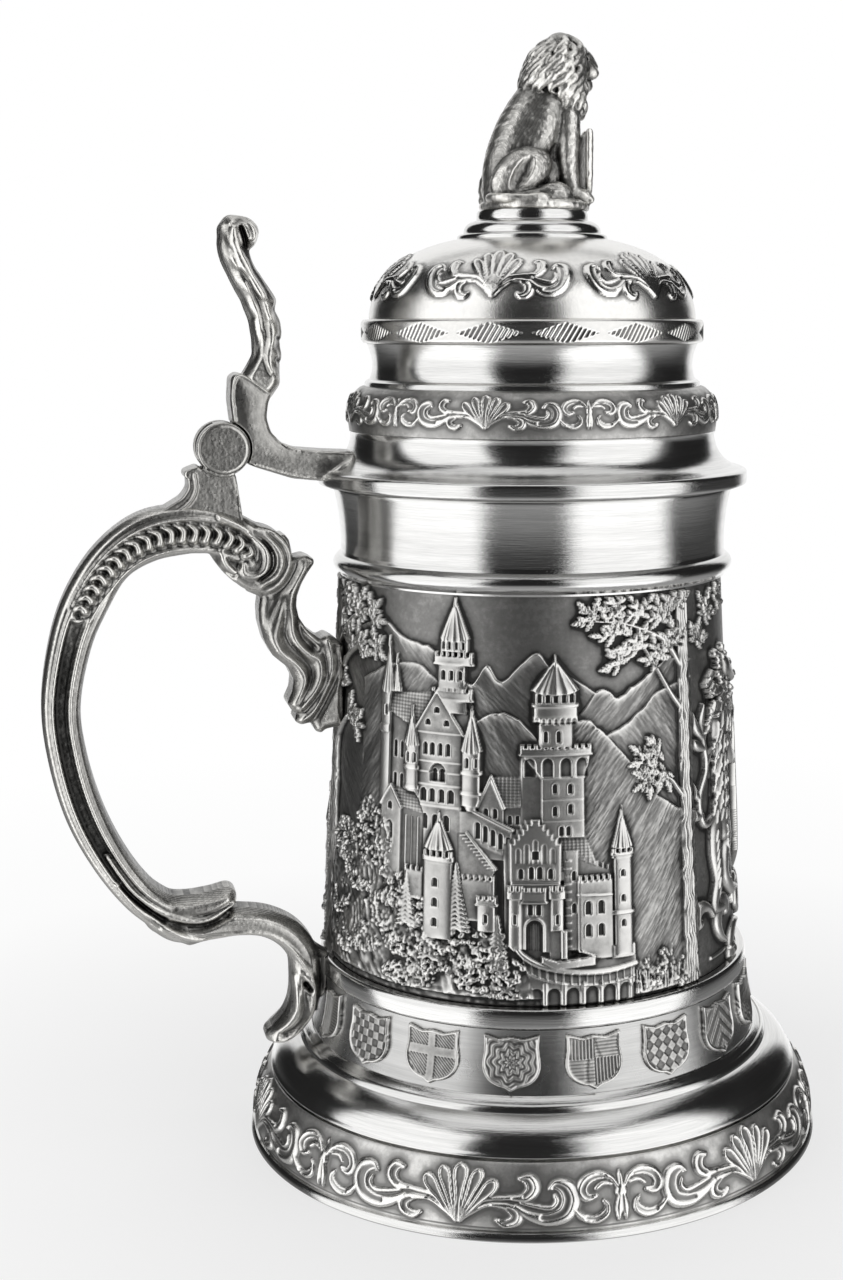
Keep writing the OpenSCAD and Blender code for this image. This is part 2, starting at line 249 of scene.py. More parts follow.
def rise_of(x, z, line):
    """How far inside a line of (across, up, half width) each place is: 0 at its edge, 1 on its middle."""
    best = np.full(x.shape, -1e9)
    for a, b in zip(line[:-1], line[1:]):
        d = b[:2] - a[:2]
        t = np.clip(((x - a[0]) * d[0] + (z - a[1]) * d[1]) / max(d @ d, 1e-9), 0, 1)
        half = np.maximum(a[2] + (b[2] - a[2]) * t, 0.02)
        away = np.hypot(x - a[0] - t * d[0], z - a[1] - t * d[1])
        best = np.maximum(best, 1 - away / half)
    return best


class Relief:
    """A height map over a sheet, in millimetres across and up."""

    def __init__(self, x, z, step, even=True):
        """A flat sheet; even says that its rows and columns are straight."""
        self.x, self.z, self.step, self.even = x, z, step, even
        self.h = np.zeros(x.shape)

    def near(self, points, pad):
        """The rows and columns around some points."""
        if not self.even:
            return slice(None), slice(None)
        p = np.asarray(points, float)
        spans = []
        for values, axis in ((p[:, 1], self.z[:, 0]), (p[:, 0], self.x[0])):
            low = np.searchsorted(axis, values.min() - pad)
            high = np.searchsorted(axis, values.max() + pad)
            spans.append(slice(max(low - 1, 0), high + 1))
        return tuple(spans)

    def cover(self, place, share, value):
        """Lays a value over what is there, by share."""
        share = np.clip(share, 0, 1)
        self.h[place] = self.h[place] * (1 - share) + value * share

    def plate(self, outline, level, edge=0.0):
        """Lays a surface over an outline. level is a height, or makes one from across and up."""
        place = self.near(outline, self.step)
        x, z = self.x[place], self.z[place]
        if not x.size:
            return
        deep = inside_of(x, z, outline)
        value = level(x, z) if callable(level) else level
        if edge:
            value = value - edge * np.clip(1 - deep / 0.5, 0, 1) ** 2
        self.cover(place, 0.5 + deep / self.step, value)

    def press(self, outline, by):
        """Raises or lowers the inside of an outline."""
        place = self.near(outline, self.step)
        x, z = self.x[place], self.z[place]
        if x.size:
            self.h[place] += by * np.clip(0.5 + inside_of(x, z, outline) / self.step, 0, 1)

    def tuft(self, s, z, size, level):
        """A small round heap."""
        place = self.near([(s, z)], size)
        away = np.hypot(self.x[place] - s, self.z[place] - z) / size
        heap = np.where(away < 1, level + 0.6 * size * np.sqrt(np.clip(1 - away**2, 0, 1)) - 0.3 * size, -9)
        self.h[place] = np.maximum(self.h[place], heap)

    def stroke(self, points, lift, base=None, smooth=True):
        """A rounded ridge, raised on what is there or, with a base, standing at that height."""
        line = flow(points) if smooth and len(points) > 2 else np.array(points, float)
        place = self.near(line, line[:, 2].max() + self.step)
        x, z = self.x[place], self.z[place]
        if not x.size:
            return
        rise = rise_of(x, z, line)
        dome = np.sqrt(np.clip(rise * (2 - rise), 0, 1))
        if base is None:
            self.h[place] += lift * dome
        else:
            self.h[place] = np.where(rise > 0, np.maximum(self.h[place], base + lift * dome), self.h[place])

    def rib(self, points, lift, base=None):
        """A stroke that runs straight from point to point."""
        self.stroke(points, lift, base, smooth=False)

    def worn(self, reach, strength, floor=0.5):
        """Where the surface is rubbed bright, above 0.5, and where its hollows stay dark."""
        wide = self.h - blurred(self.h.astype(np.float32), reach / self.step)
        fine = self.h - blurred(self.h.astype(np.float32), 0.35 * reach / self.step)
        return np.clip(floor + strength * (wide + 1.6 * fine), 0, 1)


# ---------------------------------------------------------------- materials


def new_material(name):
    """A node material with a principled shader joined to its output: gives it, its tree and the shader."""
    material = bpy.data.materials.new(name)
    material.use_nodes = True
    tree = material.node_tree
    tree.nodes.clear()
    shader = tree.nodes.new("ShaderNodeBsdfPrincipled")
    output = tree.nodes.new("ShaderNodeOutputMaterial")
    tree.links.new(shader.outputs[0], output.inputs[0])
    return material, tree, shader


def add_node(tree, kind, links=(), **values):
    """A node with its settings by name, its sockets by number as in_0, and links into its sockets."""
    made = tree.nodes.new("ShaderNode" + kind)
    for key, value in values.items():
        if key.startswith("in_"):
            made.inputs[int(key[3:])].default_value = value
        else:
            setattr(made, key, value)
    for socket, source in links:
        tree.links.new(source, made.inputs[socket])
    return made


def math_node(tree, operation, *values, clamp=False):
    """The output of one sum over numbers and other nodes' outputs."""
    made = tree.nodes.new("ShaderNodeMath")
    made.operation = operation
    made.use_clamp = clamp
    for socket, value in enumerate(values):
        if isinstance(value, (int, float)):
            made.inputs[socket].default_value = value
        else:
            tree.links.new(value, made.inputs[socket])
    return made.outputs[0]


def ramp(tree, source, stops):
    """A colour ramp with (place, grey or colour) stops."""
    made = add_node(tree, "ValToRGB", [(0, source)])
    bar = made.color_ramp
    while len(bar.elements) > 1:
        bar.elements.remove(bar.elements[-1])
    for k, (place, tone) in enumerate(stops):
        stop = bar.elements[0] if k == 0 else bar.elements.new(place)
        stop.position = place
        stop.color = (*tone, 1) if isinstance(tone, tuple) else (tone, tone, tone, 1)
    return made.outputs[0]


def lathe_space(tree):
    """Radius, height and a slow turn about the axis, so that noise lies in rings as lathe marks do."""
    place = add_node(tree, "TexCoord").outputs["Object"]
    split = add_node(tree, "SeparateXYZ", [(0, place)])
    flat = add_node(tree, "CombineXYZ", [(0, split.outputs[0]), (1, split.outputs[1])])
    radius = add_node(tree, "VectorMath", [(0, flat.outputs[0])], operation="LENGTH").outputs["Value"]
    turn = math_node(tree, "ARCTAN2", split.outputs[1], split.outputs[0])
    turn = math_node(tree, "ABSOLUTE", turn)
    slow = math_node(tree, "MULTIPLY", turn, 0.0012)
    rings = add_node(tree, "CombineXYZ", [(0, radius), (1, split.outputs[2]), (2, slow)])
    return place, rings.outputs[0]


def noise(tree, space, scale, detail=3.0, rough=0.55):
    """The strength of a cloudy noise, from 0 to 1."""
    made = add_node(tree, "TexNoise", [(0, space)])
    made.inputs["Scale"].default_value = scale
    made.inputs["Detail"].default_value = detail
    made.inputs["Roughness"].default_value = rough
    return made.outputs[0]


def bump(tree, shader, height, strength, distance):
    """Roughens the shader's surface by a height."""
    made = add_node(tree, "Bump", [("Height", height)])
    made.inputs["Strength"].default_value = strength
    made.inputs["Distance"].default_value = distance
    tree.links.new(made.outputs[0], shader.inputs["Normal"])


def turned_pewter(name, tone=0.72, rough=0.13):
    """Bright pewter with the fine rings of the lathe and a few soft smudges."""
    material, tree, shader = new_material(name)
    place, rings = lathe_space(tree)
    lines = noise(tree, rings, 5200, 4.0, 0.7)
    bands = noise(tree, rings, 620, 3.0, 0.6)
    smudge = noise(tree, place, 60, 4.0, 0.6)
    mixed = math_node(tree, "MULTIPLY", bands, 0.5)
    sum_lines = math_node(tree, "ADD", math_node(tree, "MULTIPLY", lines, 0.5), mixed)
    tint = ramp(tree, sum_lines, [(0.28, (tone * 0.74, tone * 0.74, tone * 0.73)),
                                  (0.72, (tone * 1.12, tone * 1.115, tone * 1.1))])
    tree.links.new(tint, shader.inputs["Base Color"])
    shade = ramp(tree, smudge, [(0.3, rough * 0.85), (0.7, rough * 1.3)])
    tree.links.new(shade, shader.inputs["Roughness"])
    shader.inputs["Metallic"].default_value = 1.0
    bump(tree, shader, sum_lines, 0.3, 0.00014)
    return material


def by_wear(tree, shader, mottle, cloud, speckle, tones, tint):
    """Colours metal by the mesh's wear, which on the handle also holds painted shade, made uneven by a fine
    and a slow noise. Gives that wear back.
    """
    wear = add_node(tree, "Attribute", attribute_name="wear").outputs["Fac"]
    fine = math_node(tree, "MULTIPLY", math_node(tree, "SUBTRACT", mottle, 0.5), speckle)
    slow = math_node(tree, "MULTIPLY", math_node(tree, "SUBTRACT", cloud[0], 0.5), cloud[1])
    level = math_node(tree, "ADD", math_node(tree, "ADD", wear, fine), slow, clamp=True)
    green, blue = tint
    stops = [(at, (tone, tone * green, tone * blue)) for at, tone in tones]
    tree.links.new(ramp(tree, level, stops), shader.inputs["Base Color"])
    shader.inputs["Metallic"].default_value = 1.0
    return level


def antiqued_pewter(name, dark=0.045, middle=0.34, bright=0.73, rough=0.34):
    """Pewter stained dark and rubbed back: hollows stay dark and edges come up bright."""
    material, tree, shader = new_material(name)
    place = add_node(tree, "TexCoord").outputs["Object"]
    mottle = noise(tree, place, 900, 4.0, 0.65)
    cloud = noise(tree, place, 130, 3.0, 0.5)
    tones = [(0.12, dark), (0.42, middle * 0.7), (0.55, middle * 1.3), (0.72, bright * 0.82), (0.92, bright)]
    level = by_wear(tree, shader, mottle, (cloud, 0.2), 0.22, tones, (0.99, 0.965))
    shade = ramp(tree, level, [(0.2, rough * 1.5), (0.8, rough * 0.85)])
    tree.links.new(shade, shader.inputs["Roughness"])
    fine = noise(tree, place, 3800, 3.0, 0.6)
    bump(tree, shader, fine, 0.2, 0.00012)
    return material


def cast_pewter(name, dark=0.03, middle=0.36, bright=0.84, rough=0.3, speckle=0.3, relief=0.26):
    """Cast pewter with a mottled, slightly pitted skin."""
    material, tree, shader = new_material(name)
    place = add_node(tree, "TexCoord").outputs["Object"]
    mottle = noise(tree, place, 750, 5.0, 0.7)
    pits = add_node(tree, "TexVoronoi", [(0, place)])
    pits.inputs["Scale"].default_value = 1500
    cloud = noise(tree, place, 160, 3.0, 0.55)
    tones = [(0.1, dark), (0.4, middle * 0.8), (0.58, middle * 1.35), (0.8, bright)]
    by_wear(tree, shader, mottle, (cloud, 0.22), speckle, tones, (0.985, 0.945))
    shade = ramp(tree, mottle, [(0.3, rough * 1.25), (0.7, rough * 0.8)])
    tree.links.new(shade, shader.inputs["Roughness"])
    skin = math_node(tree, "ADD", mottle, math_node(tree, "MULTIPLY", pits.outputs[0], 0.5))
    bump(tree, shader, skin, relief, 0.00018)
    return material


def drawn_steel(name):
    """Plain steel with fine drawing marks."""
    material, tree, shader = new_material(name)
    place = add_node(tree, "TexCoord").outputs["Object"]
    lines = noise(tree, place, 2400, 4.0, 0.6)
    tree.links.new(ramp(tree, lines, [(0.3, 0.5), (0.7, 0.62)]), shader.inputs["Base Color"])
    tree.links.new(ramp(tree, lines, [(0.3, 0.22), (0.7, 0.34)]), shader.inputs["Roughness"])
    shader.inputs["Metallic"].default_value = 1.0
    bump(tree, shader, lines, 0.15, 0.0001)
    return material


def pale_floor(name):
    """White to look at, with a soft shadow, and dim in what the metal mirrors."""
    material, tree, shader = new_material(name)
    output = next(node for node in tree.nodes if node.type == "OUTPUT_MATERIAL")
    place = add_node(tree, "TexCoord").outputs["Object"]
    cloud = noise(tree, place, 6, 4.0, 0.5)
    sees = add_node(tree, "LightPath").outputs["Is Camera Ray"]
    tone = math_node(tree, "MULTIPLY_ADD", sees, 0.72, 0.16)
    level = math_node(tree, "MULTIPLY", ramp(tree, cloud, [(0.3, 0.97), (0.7, 1.0)]), tone)
    tree.links.new(level, shader.inputs["Base Color"])
    shader.inputs["Roughness"].default_value = 0.7
    shader.inputs["Specular IOR Level"].default_value = 0.0
    glow = add_node(tree, "Emission", in_0=(1, 1, 1, 1), in_1=1.0)
    far = add_node(tree, "VectorMath", [(0, place)], operation="LENGTH").outputs["Value"]
    far = ramp(tree, far, [(0.07, 0.66), (0.2, 0.93), (0.36, 1.0)])
    share = math_node(tree, "MULTIPLY", sees, far)
    both = add_node(tree, "MixShader", [(0, share), (1, shader.outputs[0]), (2, glow.outputs[0])])
    tree.links.new(both.outputs[0], output.inputs[0])
    return material


# ---------------------------------------------------------------- turned parts


def foot_parts():
    """The rim and the flare of the foot, either side of its ornament."""
    low = turned("foot_rim", [(59.2, 0), (61.7, 0), (62, 0.35), (61.95, 0.9), (61.75, 1.4), (61.4, 1.7),
                              (60.9, 1.8), (60.6, 2.4), (59.4, 2.4)])
    flare = turned("foot_flare", [(56.9, 14.3), (57.0, 14.6)],
                   bow((57.25, 14.9), (57.6, 15.2), (57.1, 15.7), 5),
                   bow((56.9, 16.0), (55.4, 19.4), (51.5, 21.3)),
                   bow((51.1, 21.45), (50.95, 22.5), (50.2, 22.9), 8),
                   bow((50.1, 22.7), (49.2, 23.6), (48.6, 23.9), 8), [(48.5, 24), (44, 24), (46.5, 20.4)],
                   bow((50.8, 18), (55.4, 12), (56.7, 13.6), 8))
    return low, flare


def body_rings():
    """The belt under the barrel, the smooth band behind the shields and the collar at the rim."""
    band = turned("shield_band_skin", bow((48.3, 24), (46.2, 30), (46, 36.5), 30), [(44, 36.5), (44, 24)])
    belt = turned("belt", [(45.6, 36.5)], bow((46.2, 36.7), (46.5, 36.9), (46.5, 37.6), 6),
                  bow((46.5, 37.9), (46.5, 39.9), (46.2, 40.3), 8),
                  bow((46.1, 40.4), (45.9, 40.7), (45.4, 40.7), 5),
                  [(44.4, 40.7), (44.4, 36.5)])
    collar = turned("collar", [(40.6, 121.5), (40.7, 121.9)],
                    bow((40.9, 122.1), (43.2, 123.9), (40.9, 125.7), 16),
                    [(40.55, 125.9), (40.5, 126.2)],
                    bow((40.4, 126.4), (40.1, 133), (41.7, 139.3), 30),
                    bow((41.7, 139.5), (41.6, 140), (41.2, 140), 5),
                    bow((38.9, 140), (38.3, 140), (38.3, 139.3), 5),
                    [(38.3, 122.6), (38.7, 121.5)])
    return band, belt, collar


def cup_wall():
    """The cup's smooth inside, and a hidden outside under the relief."""
    low, top, inset = BARREL_LOW_R, BARREL_TOP_R, 1.4
    return turned("cup_wall", [(low - inset, FLOOR), (top - inset, BARREL_TOP), (top - WALL, BARREL_TOP),
                               (low - WALL, FLOOR)])


def lid_parts():
    """The flange, the neck and the foot of the finial."""
    flange = turned("flange", [(44.2, LID)], bow((44.6, LID), (44.9, LID + 0.2), (44.9, LID + 0.8), 5),
                    bow((44.9, LID + 2.2), (44.9, LID + 2.9), (44.2, LID + 3.1), 6),
                    bow((43.9, LID + 3.2), (38.9, LID + 4.3), (38.0, LID + 9.7), 30),
                    bow((38.0, LID + 9.9), (38.1, LID + 10.6), (38.3, BAND), 5),
                    [(36.1, BAND), (36.1, LID + 6), (37.4, LID + 3), (37.4, LID)])
    neck = turned("neck", [(34.5, NECK - 0.3), (34.9, NECK), (34.9, NECK + 0.6)],
                  bow((34.8, NECK + 0.9), (34.4, NECK + 1.3), (33.9, NECK + 1.4), 6),
                  bow((33.8, NECK + 1.6), (32.5, NECK + 4.8), (34.3, LOZENGE), 30),
                  [(32.4, LOZENGE)], bow((31.6, LOZENGE - 1), (31, NECK + 4.6), (32.2, NECK + 0.9), 8),
                  [(32.6, NECK - 0.3)])
    pedestal = turned("pedestal", [(15.2, DOME_TOP - 0.4)], bow((15.5, DOME_TOP), (15.6, DOME_TOP + 0.7),
            (15.1, DOME_TOP + 0.9), 5), [(14.3, DOME_TOP + 1.1)], bow((14.2, DOME_TOP + 1.3),
            (14.1, DOME_TOP + 3.1), (12.2, DOME_TOP + 3.6), 16), [(11.6, DOME_TOP + 3.8)],
                      bow((11.5, DOME_TOP + 4.0), (11.5, LION - 0.4), (11.2, LION), 6),
                      [(2.2, LION), (2.2, DOME_TOP - 0.4)])
    return flange, neck, pedestal


# ---------------------------------------------------------------- ornament


def petal(art, root, tip, width, lift):
    """A palmette's petal: a raised rim round a shallow hollow."""
    root, tip = np.array(root, float), np.array(tip, float)
    along = tip - root
    side = np.array([along[1], -along[0]]) / np.hypot(*along)
    t = np.array([0, 0.3, 0.6, 0.82, 0.94, 1.0])
    half = width * np.array([0.12, 0.28, 0.62, 0.95, 0.8, 0.25])
    left = root + t[:, None] * along - half[:, None] * side
    right = root + t[:, None] * along + half[:, None] * side
    outline = np.vstack([left, right[::-1]])
    art.plate(outline, lambda x, z: 0.35 * lift)
    rim = 0.16 * width + 0.16
    art.stroke(np.column_stack([outline, np.full(len(outline), rim)]), 0.75 * lift, base=0.12 * lift)


def scrolled(art, line, lift, side=1):
    """A curled leaf: a full outer edge with a hollow cut along its inner side."""
    path = flow(line)
    art.rib(path, lift, base=0.0)
    d = np.gradient(path[:, :2], axis=0)
    d /= np.hypot(d[:, 0], d[:, 1])[:, None] + 1e-9
    inner = path.copy()
    inner[:, 0] += side * d[:, 1] * path[:, 2] * 0.3
    inner[:, 1] -= side * d[:, 0] * path[:, 2] * 0.3
    inner[:, 2] *= 0.42
    cut = inner[len(inner) // 4 :]
    art.rib(cut, -0.55 * lift)


def palmette_unit(art, wide, tall, lift, half_pitch, lily=True, petals=1.0):
    """One palmette with its scrolls and half a lily on each side. Drawn 11 high, then scaled."""
    scale = math.sqrt(wide * tall)

    def put(points, side):
        """The points in place and at their size, on one side of the palmette."""
        return [(side * x * wide, z * tall, 1.12 * w * scale) for x, z, w in points]

    stems = [[(0.9, 0.6, 0.36), (2.6, 2.9, 0.42), (5.2, 4.6, 0.45), (8.4, 5.0, 0.45), (11.2, 5.2, 0.5)],
             [(0.5, 0.3, 0.3), (2.8, 2.0, 0.36), (5.4, 3.5, 0.36), (8.5, 3.8, 0.36), (11.4, 3.5, 0.4)]]
    leaves = [([(10.6, 5.1, 0.5), (13.0, 5.3, 0.9), (14.4, 6.9, 1.2), (13.5, 8.6, 1.0), (11.7, 8.8, 0.3)],
               -1), ([(6.6, 3.8, 0.4), (9.2, 3.6, 0.7), (11.4, 2.5, 1.1), (11.3, 0.9, 1.1), (9.4, 0.1, 0.8),
                      (7.7, 0.8, 0.3)], 1), ([(11.2, 3.6, 0.5), (14.0, 1.9, 0.9), (17.5, 1.1, 1.3),
                                              (20.8, 2.1, 1.6), (21.9, 4.6, 1.7), (20.9, 6.8, 1.4),
                                              (18.9, 7.7, 0.9), (17.6, 6.9, 0.3)], -1)]
    veins = [[(12.2, 4.3, 0.3), (15.4, 3.6, 0.4), (18.0, 3.3, 0.42), (19.2, 4.5, 0.42), (18.7, 5.6, 0.28)]]
    lily_leaves = [([(22.4, 3.1, 0.3), (24.4, 1.1, 0.65), (27.0, 0.6, 0.85), (28.9, 1.6, 0.85),
                     (29.2, 3.1, 0.5), (28.4, 4.0, 0.22)], -1),
                   ([(31.0, 6.5, 0.28), (29.4, 8.2, 0.45), (26.8, 8.9, 0.8), (24.6, 8.1, 1.0),
                     (23.8, 6.3, 1.0), (25.0, 4.8, 0.75), (26.9, 5.1, 0.3)], -1)]
    lily_veins = [[(29.8, 7.0, 0.26), (28.0, 7.3, 0.4), (26.8, 6.5, 0.36)]]
    for side in (-1, 1):
        for line in stems + veins:
            art.stroke(put(line, side), 0.8 * lift, base=0.0)
        for line, hand in leaves:
            scrolled(art, put(line, side), lift, hand * side)
        if lily:
            for line, hand in lily_leaves:
                scrolled(art, put(line, side), 0.9 * lift, hand * side)
            for line in lily_veins:
                art.stroke(put(line, side), 0.6 * lift, base=0.0)
            x = side * half_pitch
            art.stroke([(x, 10.6 * tall, 0.1), (x, 8.6 * tall, 0.8 * scale), (x, 6.3 * tall, 0.4 * scale)],
                       lift, base=0.0)
            art.stroke([(x, 4.8 * tall, 0.4 * scale), (x, 2.4 * tall, 0.85 * scale), (x, -0.2 * tall, 0.1)],
                       lift, base=0.0)
            art.stroke([(x, 5.75 * tall, 0.95 * scale), (x, 5.5 * tall, 0.95 * scale)], 1.1 * lift, base=0.0)
    for tip_x, tip_z, width in ((6.9, 8.0, 1.1), (-6.9, 8.0, 1.1), (3.7, 9.9, 1.05), (-3.7, 9.9, 1.05),
                                (0, 10.7, 1.3)):
        root, tip = (0.06 * tip_x * wide, 0.2 * tall), (tip_x * wide, tip_z * tall * petals)
        petal(art, root, tip, width * scale, lift)


def ornament_ring(name, line, step, low, paint, worn, repeats=REPEATS):
    """A turned strip with a painted relief that repeats round it. The ornament's foot is at low."""
    q, out, along = resampled(line, step)
    count = int(round(2 * math.pi * q[:, 0].mean() / repeats / step))
    unit = (np.arange(count) + 0.5) / count - 0.5
    x = unit[None] * (2 * math.pi / repeats) * q[:, :1]
    z = np.repeat(along[:, None] - low, count, 1)
    art = Relief(x, z, step, even=False)
    paint(art)
    art.h = np.tile(art.h, (1, repeats))
    place = np.tile(unit, repeats) + np.repeat(np.arange(repeats), count)
    angle = math.radians(ORNAMENT_TURN) + place * 2 * math.pi / repeats
    return wrapped(name, q, out, angle, art.h, art.worn(*worn), 1, closed=True)


def foot_ornament():
    """Palmettes and lilies round the foot."""
    line = np.vstack([[(60.9, 1.85), (61.05, 2.1)], bow((61, 3), (60.9, 9.2), (57.7, 14.0)), [(57.3, 14.4)]])
    half_pitch = math.pi * 59.6 / REPEATS

    def paint(art):
        """One palmette over a fine groove."""
        palmette_unit(art, half_pitch / PALMETTE_REACH, 1.0, 0.75, half_pitch)
        art.rib([(-40, -0.9, 0.22), (40, -0.9, 0.22)], -0.12)

    return ornament_ring("foot_ornament", line, 0.24, 1.6, paint, (1.1, 1.5, 0.52))


def lid_band_ornament():
    """The same ornament, lower, round the lid."""
    line = np.vstack([[(38.2, BAND)], bow((38.3, BAND + 0.5), (39.0, 157.6), (36.4, 159.6)),
                      bow((36.2, 159.8), (35.7, 160.3), (34.8, 160.3), 4)])
    half_pitch = math.pi * 37.9 / REPEATS

    def paint(art):
        """One palmette."""
        palmette_unit(art, half_pitch / PALMETTE_REACH, 0.58, 0.5, half_pitch)

    return ornament_ring("lid_band_ornament", line, 0.2, 2.2, paint, (0.9, 1.9, 0.45))


def dome_ornament():
    """Palmettes without lilies up the dome."""
    line = np.vstack([[(33.6, DOME - 0.2)], bow((33.85, DOME + 0.1), (33.2, 186.6), (15.6, DOME_TOP), 40),
                      [(14.2, DOME_TOP + 0.05)]])

    def paint(art):
        """One palmette with long petals."""
        palmette_unit(art, 0.62, 0.9, 0.5, 17.0, lily=False, petals=1.2)

    return ornament_ring("dome_skin", line, 0.25, 4.6, paint, (1.0, 1.8, 0.6))


def lozenge_ring():
    """A rounded ring with hatched lozenges."""
    line = np.vstack([[(34.2, LOZENGE)], bow((34.9, 169.1), (35.5, 169.3), (35.5, 170.0), 6),
                      bow((35.5, 172.8), (35.5, 173.5), (35.0, 173.8), 6), [(33.5, 173.9)]])

    def paint(art):
        """One lozenge."""
        tall = art.z - 3.1
        hatch = 0.5 + 0.5 * np.cos(2 * math.pi * (art.x * 0.9 - tall * 0.55) / 0.95)
        deep = 1 - np.abs(art.x) / 7.0 - np.abs(tall) / 2.0
        art.h -= 0.2 * np.clip(deep * 8, 0, 1) * hatch

    return ornament_ring("lozenge_skin", line, 0.16, 0.0, paint, (0.5, 3.2, 0.66), repeats=15)


# ---------------------------------------------------------------- relief of the barrel


def arch(s, z, wide, tall):
    """An arched outline standing on z, with its middle at s."""
    half = wide / 2
    turns = np.linspace(0, math.pi, 9)
    top = [(s + half * math.cos(t), z + tall - half + half * math.sin(t)) for t in turns]
    return [(s + half, z), *top, (s - half, z)]


def block(left, right, low, high):
    """An upright rectangle."""
    return [(left, low), (right, low), (right, high), (left, high)]


def pane(s, z, wide, tall):
    """A rectangle standing on z, with its middle at s."""
    return block(s - wide / 2, s + wide / 2, z, z + tall)


def opening(art, s, z, wide, tall, depth=0.45, shape=arch):
    """A window or a door: a raised surround and a dark recess."""
    surround = 0.12
    art.press(shape(s, z - 0.22, wide + 0.5, tall + 0.46), surround)
    art.press(shape(s, z, wide, tall), -depth - surround)


def openings(art, places, z, wide, tall):
    """A row of arched openings."""
    for s in places:
        opening(art, s, z, wide, tall)


def barrelled(s, half, level, bulge):
    """The height of a wall that is round as seen from above."""
    return lambda x, z: level + bulge * np.sqrt(np.clip(1 - ((x - s) / half) ** 2, 0, 1))


def drum(art, s, half, low, high, level, bulge):
    """A round shaft, or any ring round one."""
    art.plate(block(s - half, s + half, low, high), barrelled(s, half, level, bulge))


def cone(art, s, half, base, tip, level, bulge):
    """A pointed roof with ribs, a curved eave and a small finial."""
    sag = 0.14 * half

    def surface(x, z):
        """The round ribbed slope."""
        share = np.clip((tip - z) / (tip - base), 0.03, 1)
        u = np.clip((x - s) / (half * share), -1, 1)
        return level + bulge * share * np.sqrt(1 - u * u) + 0.09 * share * np.cos(13 * np.arcsin(u))

    art.plate([(s - half, base), (s - half * 0.6, base - sag), (s, base - 1.4 * sag),
               (s + half * 0.6, base - sag), (s + half, base), (s + 0.12, tip), (s - 0.12, tip)], surface)
    art.stroke([(s, tip - 1.2, 0.3), (s, tip + 0.9, 0.14)], 0.35, base=level)


def battlement(art, left, right, low, high, level, count, teeth=0.9):
    """A parapet with a moulding under it and merlons on top."""
    art.plate(block(left, right, low, high), level, 0.1)
    art.rib([(left, low, 0.28), (right, low, 0.28)], 0.2, base=level - 0.05)
    pitch = (right - left) / (count - 0.4)
    for k in range(count):
        at = left + k * pitch
        art.plate(block(at, at + 0.6 * pitch, high - 0.1, high + teeth), level + 0.05, 0.08)


def roof(art, outline, level, slope=0.05, lines=0.62):
    """A tiled roof: it leans back and has rows of tiles."""
    top = max(z for _, z in outline)
    art.plate(outline, lambda x, z: level - slope * (z - top + 6) + 0.05 * np.cos(2 * math.pi * z / lines)
              + 0.03 * np.cos(2 * math.pi * x / 0.8), 0.15)


def gabled(art, left, right, low, eave, peak, level, run=None):
    """A house front with a gable; run adds its roof and side wall going back to that place."""
    middle = (left + right) / 2
    if run:
        back, rise = run
        side = right if back > right else left
        art.plate([(side, low), (back, low), (back, eave + rise), (side, eave)], level - 0.3, 0.1)
        roof(art, [(middle, peak), (back - (side - middle) * 0.6, peak + rise), (back, eave + rise - 0.2),
                   (side, eave - 0.3)], level - 0.1)
    art.plate([(left, low), (right, low), (right, eave), (middle, peak), (left, eave)], level, 0.15)
    for end in (left, right):
        art.rib([(end, eave - 0.2, 0.3), (middle, peak + 0.1, 0.3)], 0.22, base=level)


def hill(art, ridge, level, lean=1.2, depth=0.06, seed=1):
    """Ground under a ridge, with slanting scratches, soft folds and a bright crest."""
    ridge = flow([(*p, 0) for p in ridge], 5)[:, :2]
    ridge[:, 1] += 0.25 * grain(ridge[:, 0], 0 * ridge[:, 0], 1.1, seed + 4)
    outline = np.vstack([ridge, [(ridge[-1, 0], 40), (ridge[0, 0], 40)]])

    def surface(x, z):
        """The ground's height."""
        path = z + lean * x
        folds = 0.16 * grain(path, (x - lean * z) * 0.3, 5.2, seed)
        folds = folds + 0.06 * grain(path, x * 0.4, 1.9, seed + 1)
        scratches = depth * 0.7 * grain(path, (x - lean * z) * 0.16, 0.42, seed + 2)
        crest = np.interp(x, ridge[:, 0], ridge[:, 1]) - z
        shade = np.clip(crest, 0, 20)
        return level + folds + scratches + 0.22 * np.exp(-shade / 0.8) + 0.2 * np.exp(-shade / 5)

    art.plate(outline, surface)


def oak_leaf(art, s, z, turn, size, level):
    """A slim lobed leaf with a raised edge and a vein."""
    t = np.linspace(0, 1, 17)
    half = size * (0.15 * np.sin(math.pi * t**0.8) ** 0.6 + 0.075 * np.cos(2 * math.pi * 3.5 * t)
                   * np.sin(math.pi * t))
    c, d = math.cos(turn), math.sin(turn)
    along = np.r_[t, t[::-1]] * size
    side = np.r_[half, -half[::-1]]
    outline = np.stack([s + along * c - side * d, z + along * d + side * c], -1)
    art.plate(outline, level - 0.1)
    art.rib(np.column_stack([outline, np.full(len(outline), 0.15)]), 0.3, base=level - 0.05)
    art.rib([(s, z, 0.14), (s + 0.9 * size * c, z + 0.9 * size * d, 0.09)], 0.16, base=level)


def sprig(art, s, z, turn, length, size, level, rng):
    """A twig with leaves on both sides and one at its end."""
    c, d = math.cos(turn), math.sin(turn)
    art.rib([(s, z, 0.24), (s + length * c, z + length * d, 0.14)], 0.3, base=level - 0.2)
    for t in np.arange(0.12, 1.0, 1.6 / length):
        for side in (-1, 1):
            way = turn + side * (0.95 - 0.35 * t) + rng.uniform(-0.15, 0.15)
            at = length * (t + 0.04 * side)
            grown = size * rng.uniform(0.7, 1.05) * (1.1 - 0.35 * t)
            oak_leaf(art, s + at * c, z + at * d, way, grown, level + rng.uniform(-0.15, 0.25))
    oak_leaf(art, s + length * c, z + length * d, turn, size, level + 0.25)


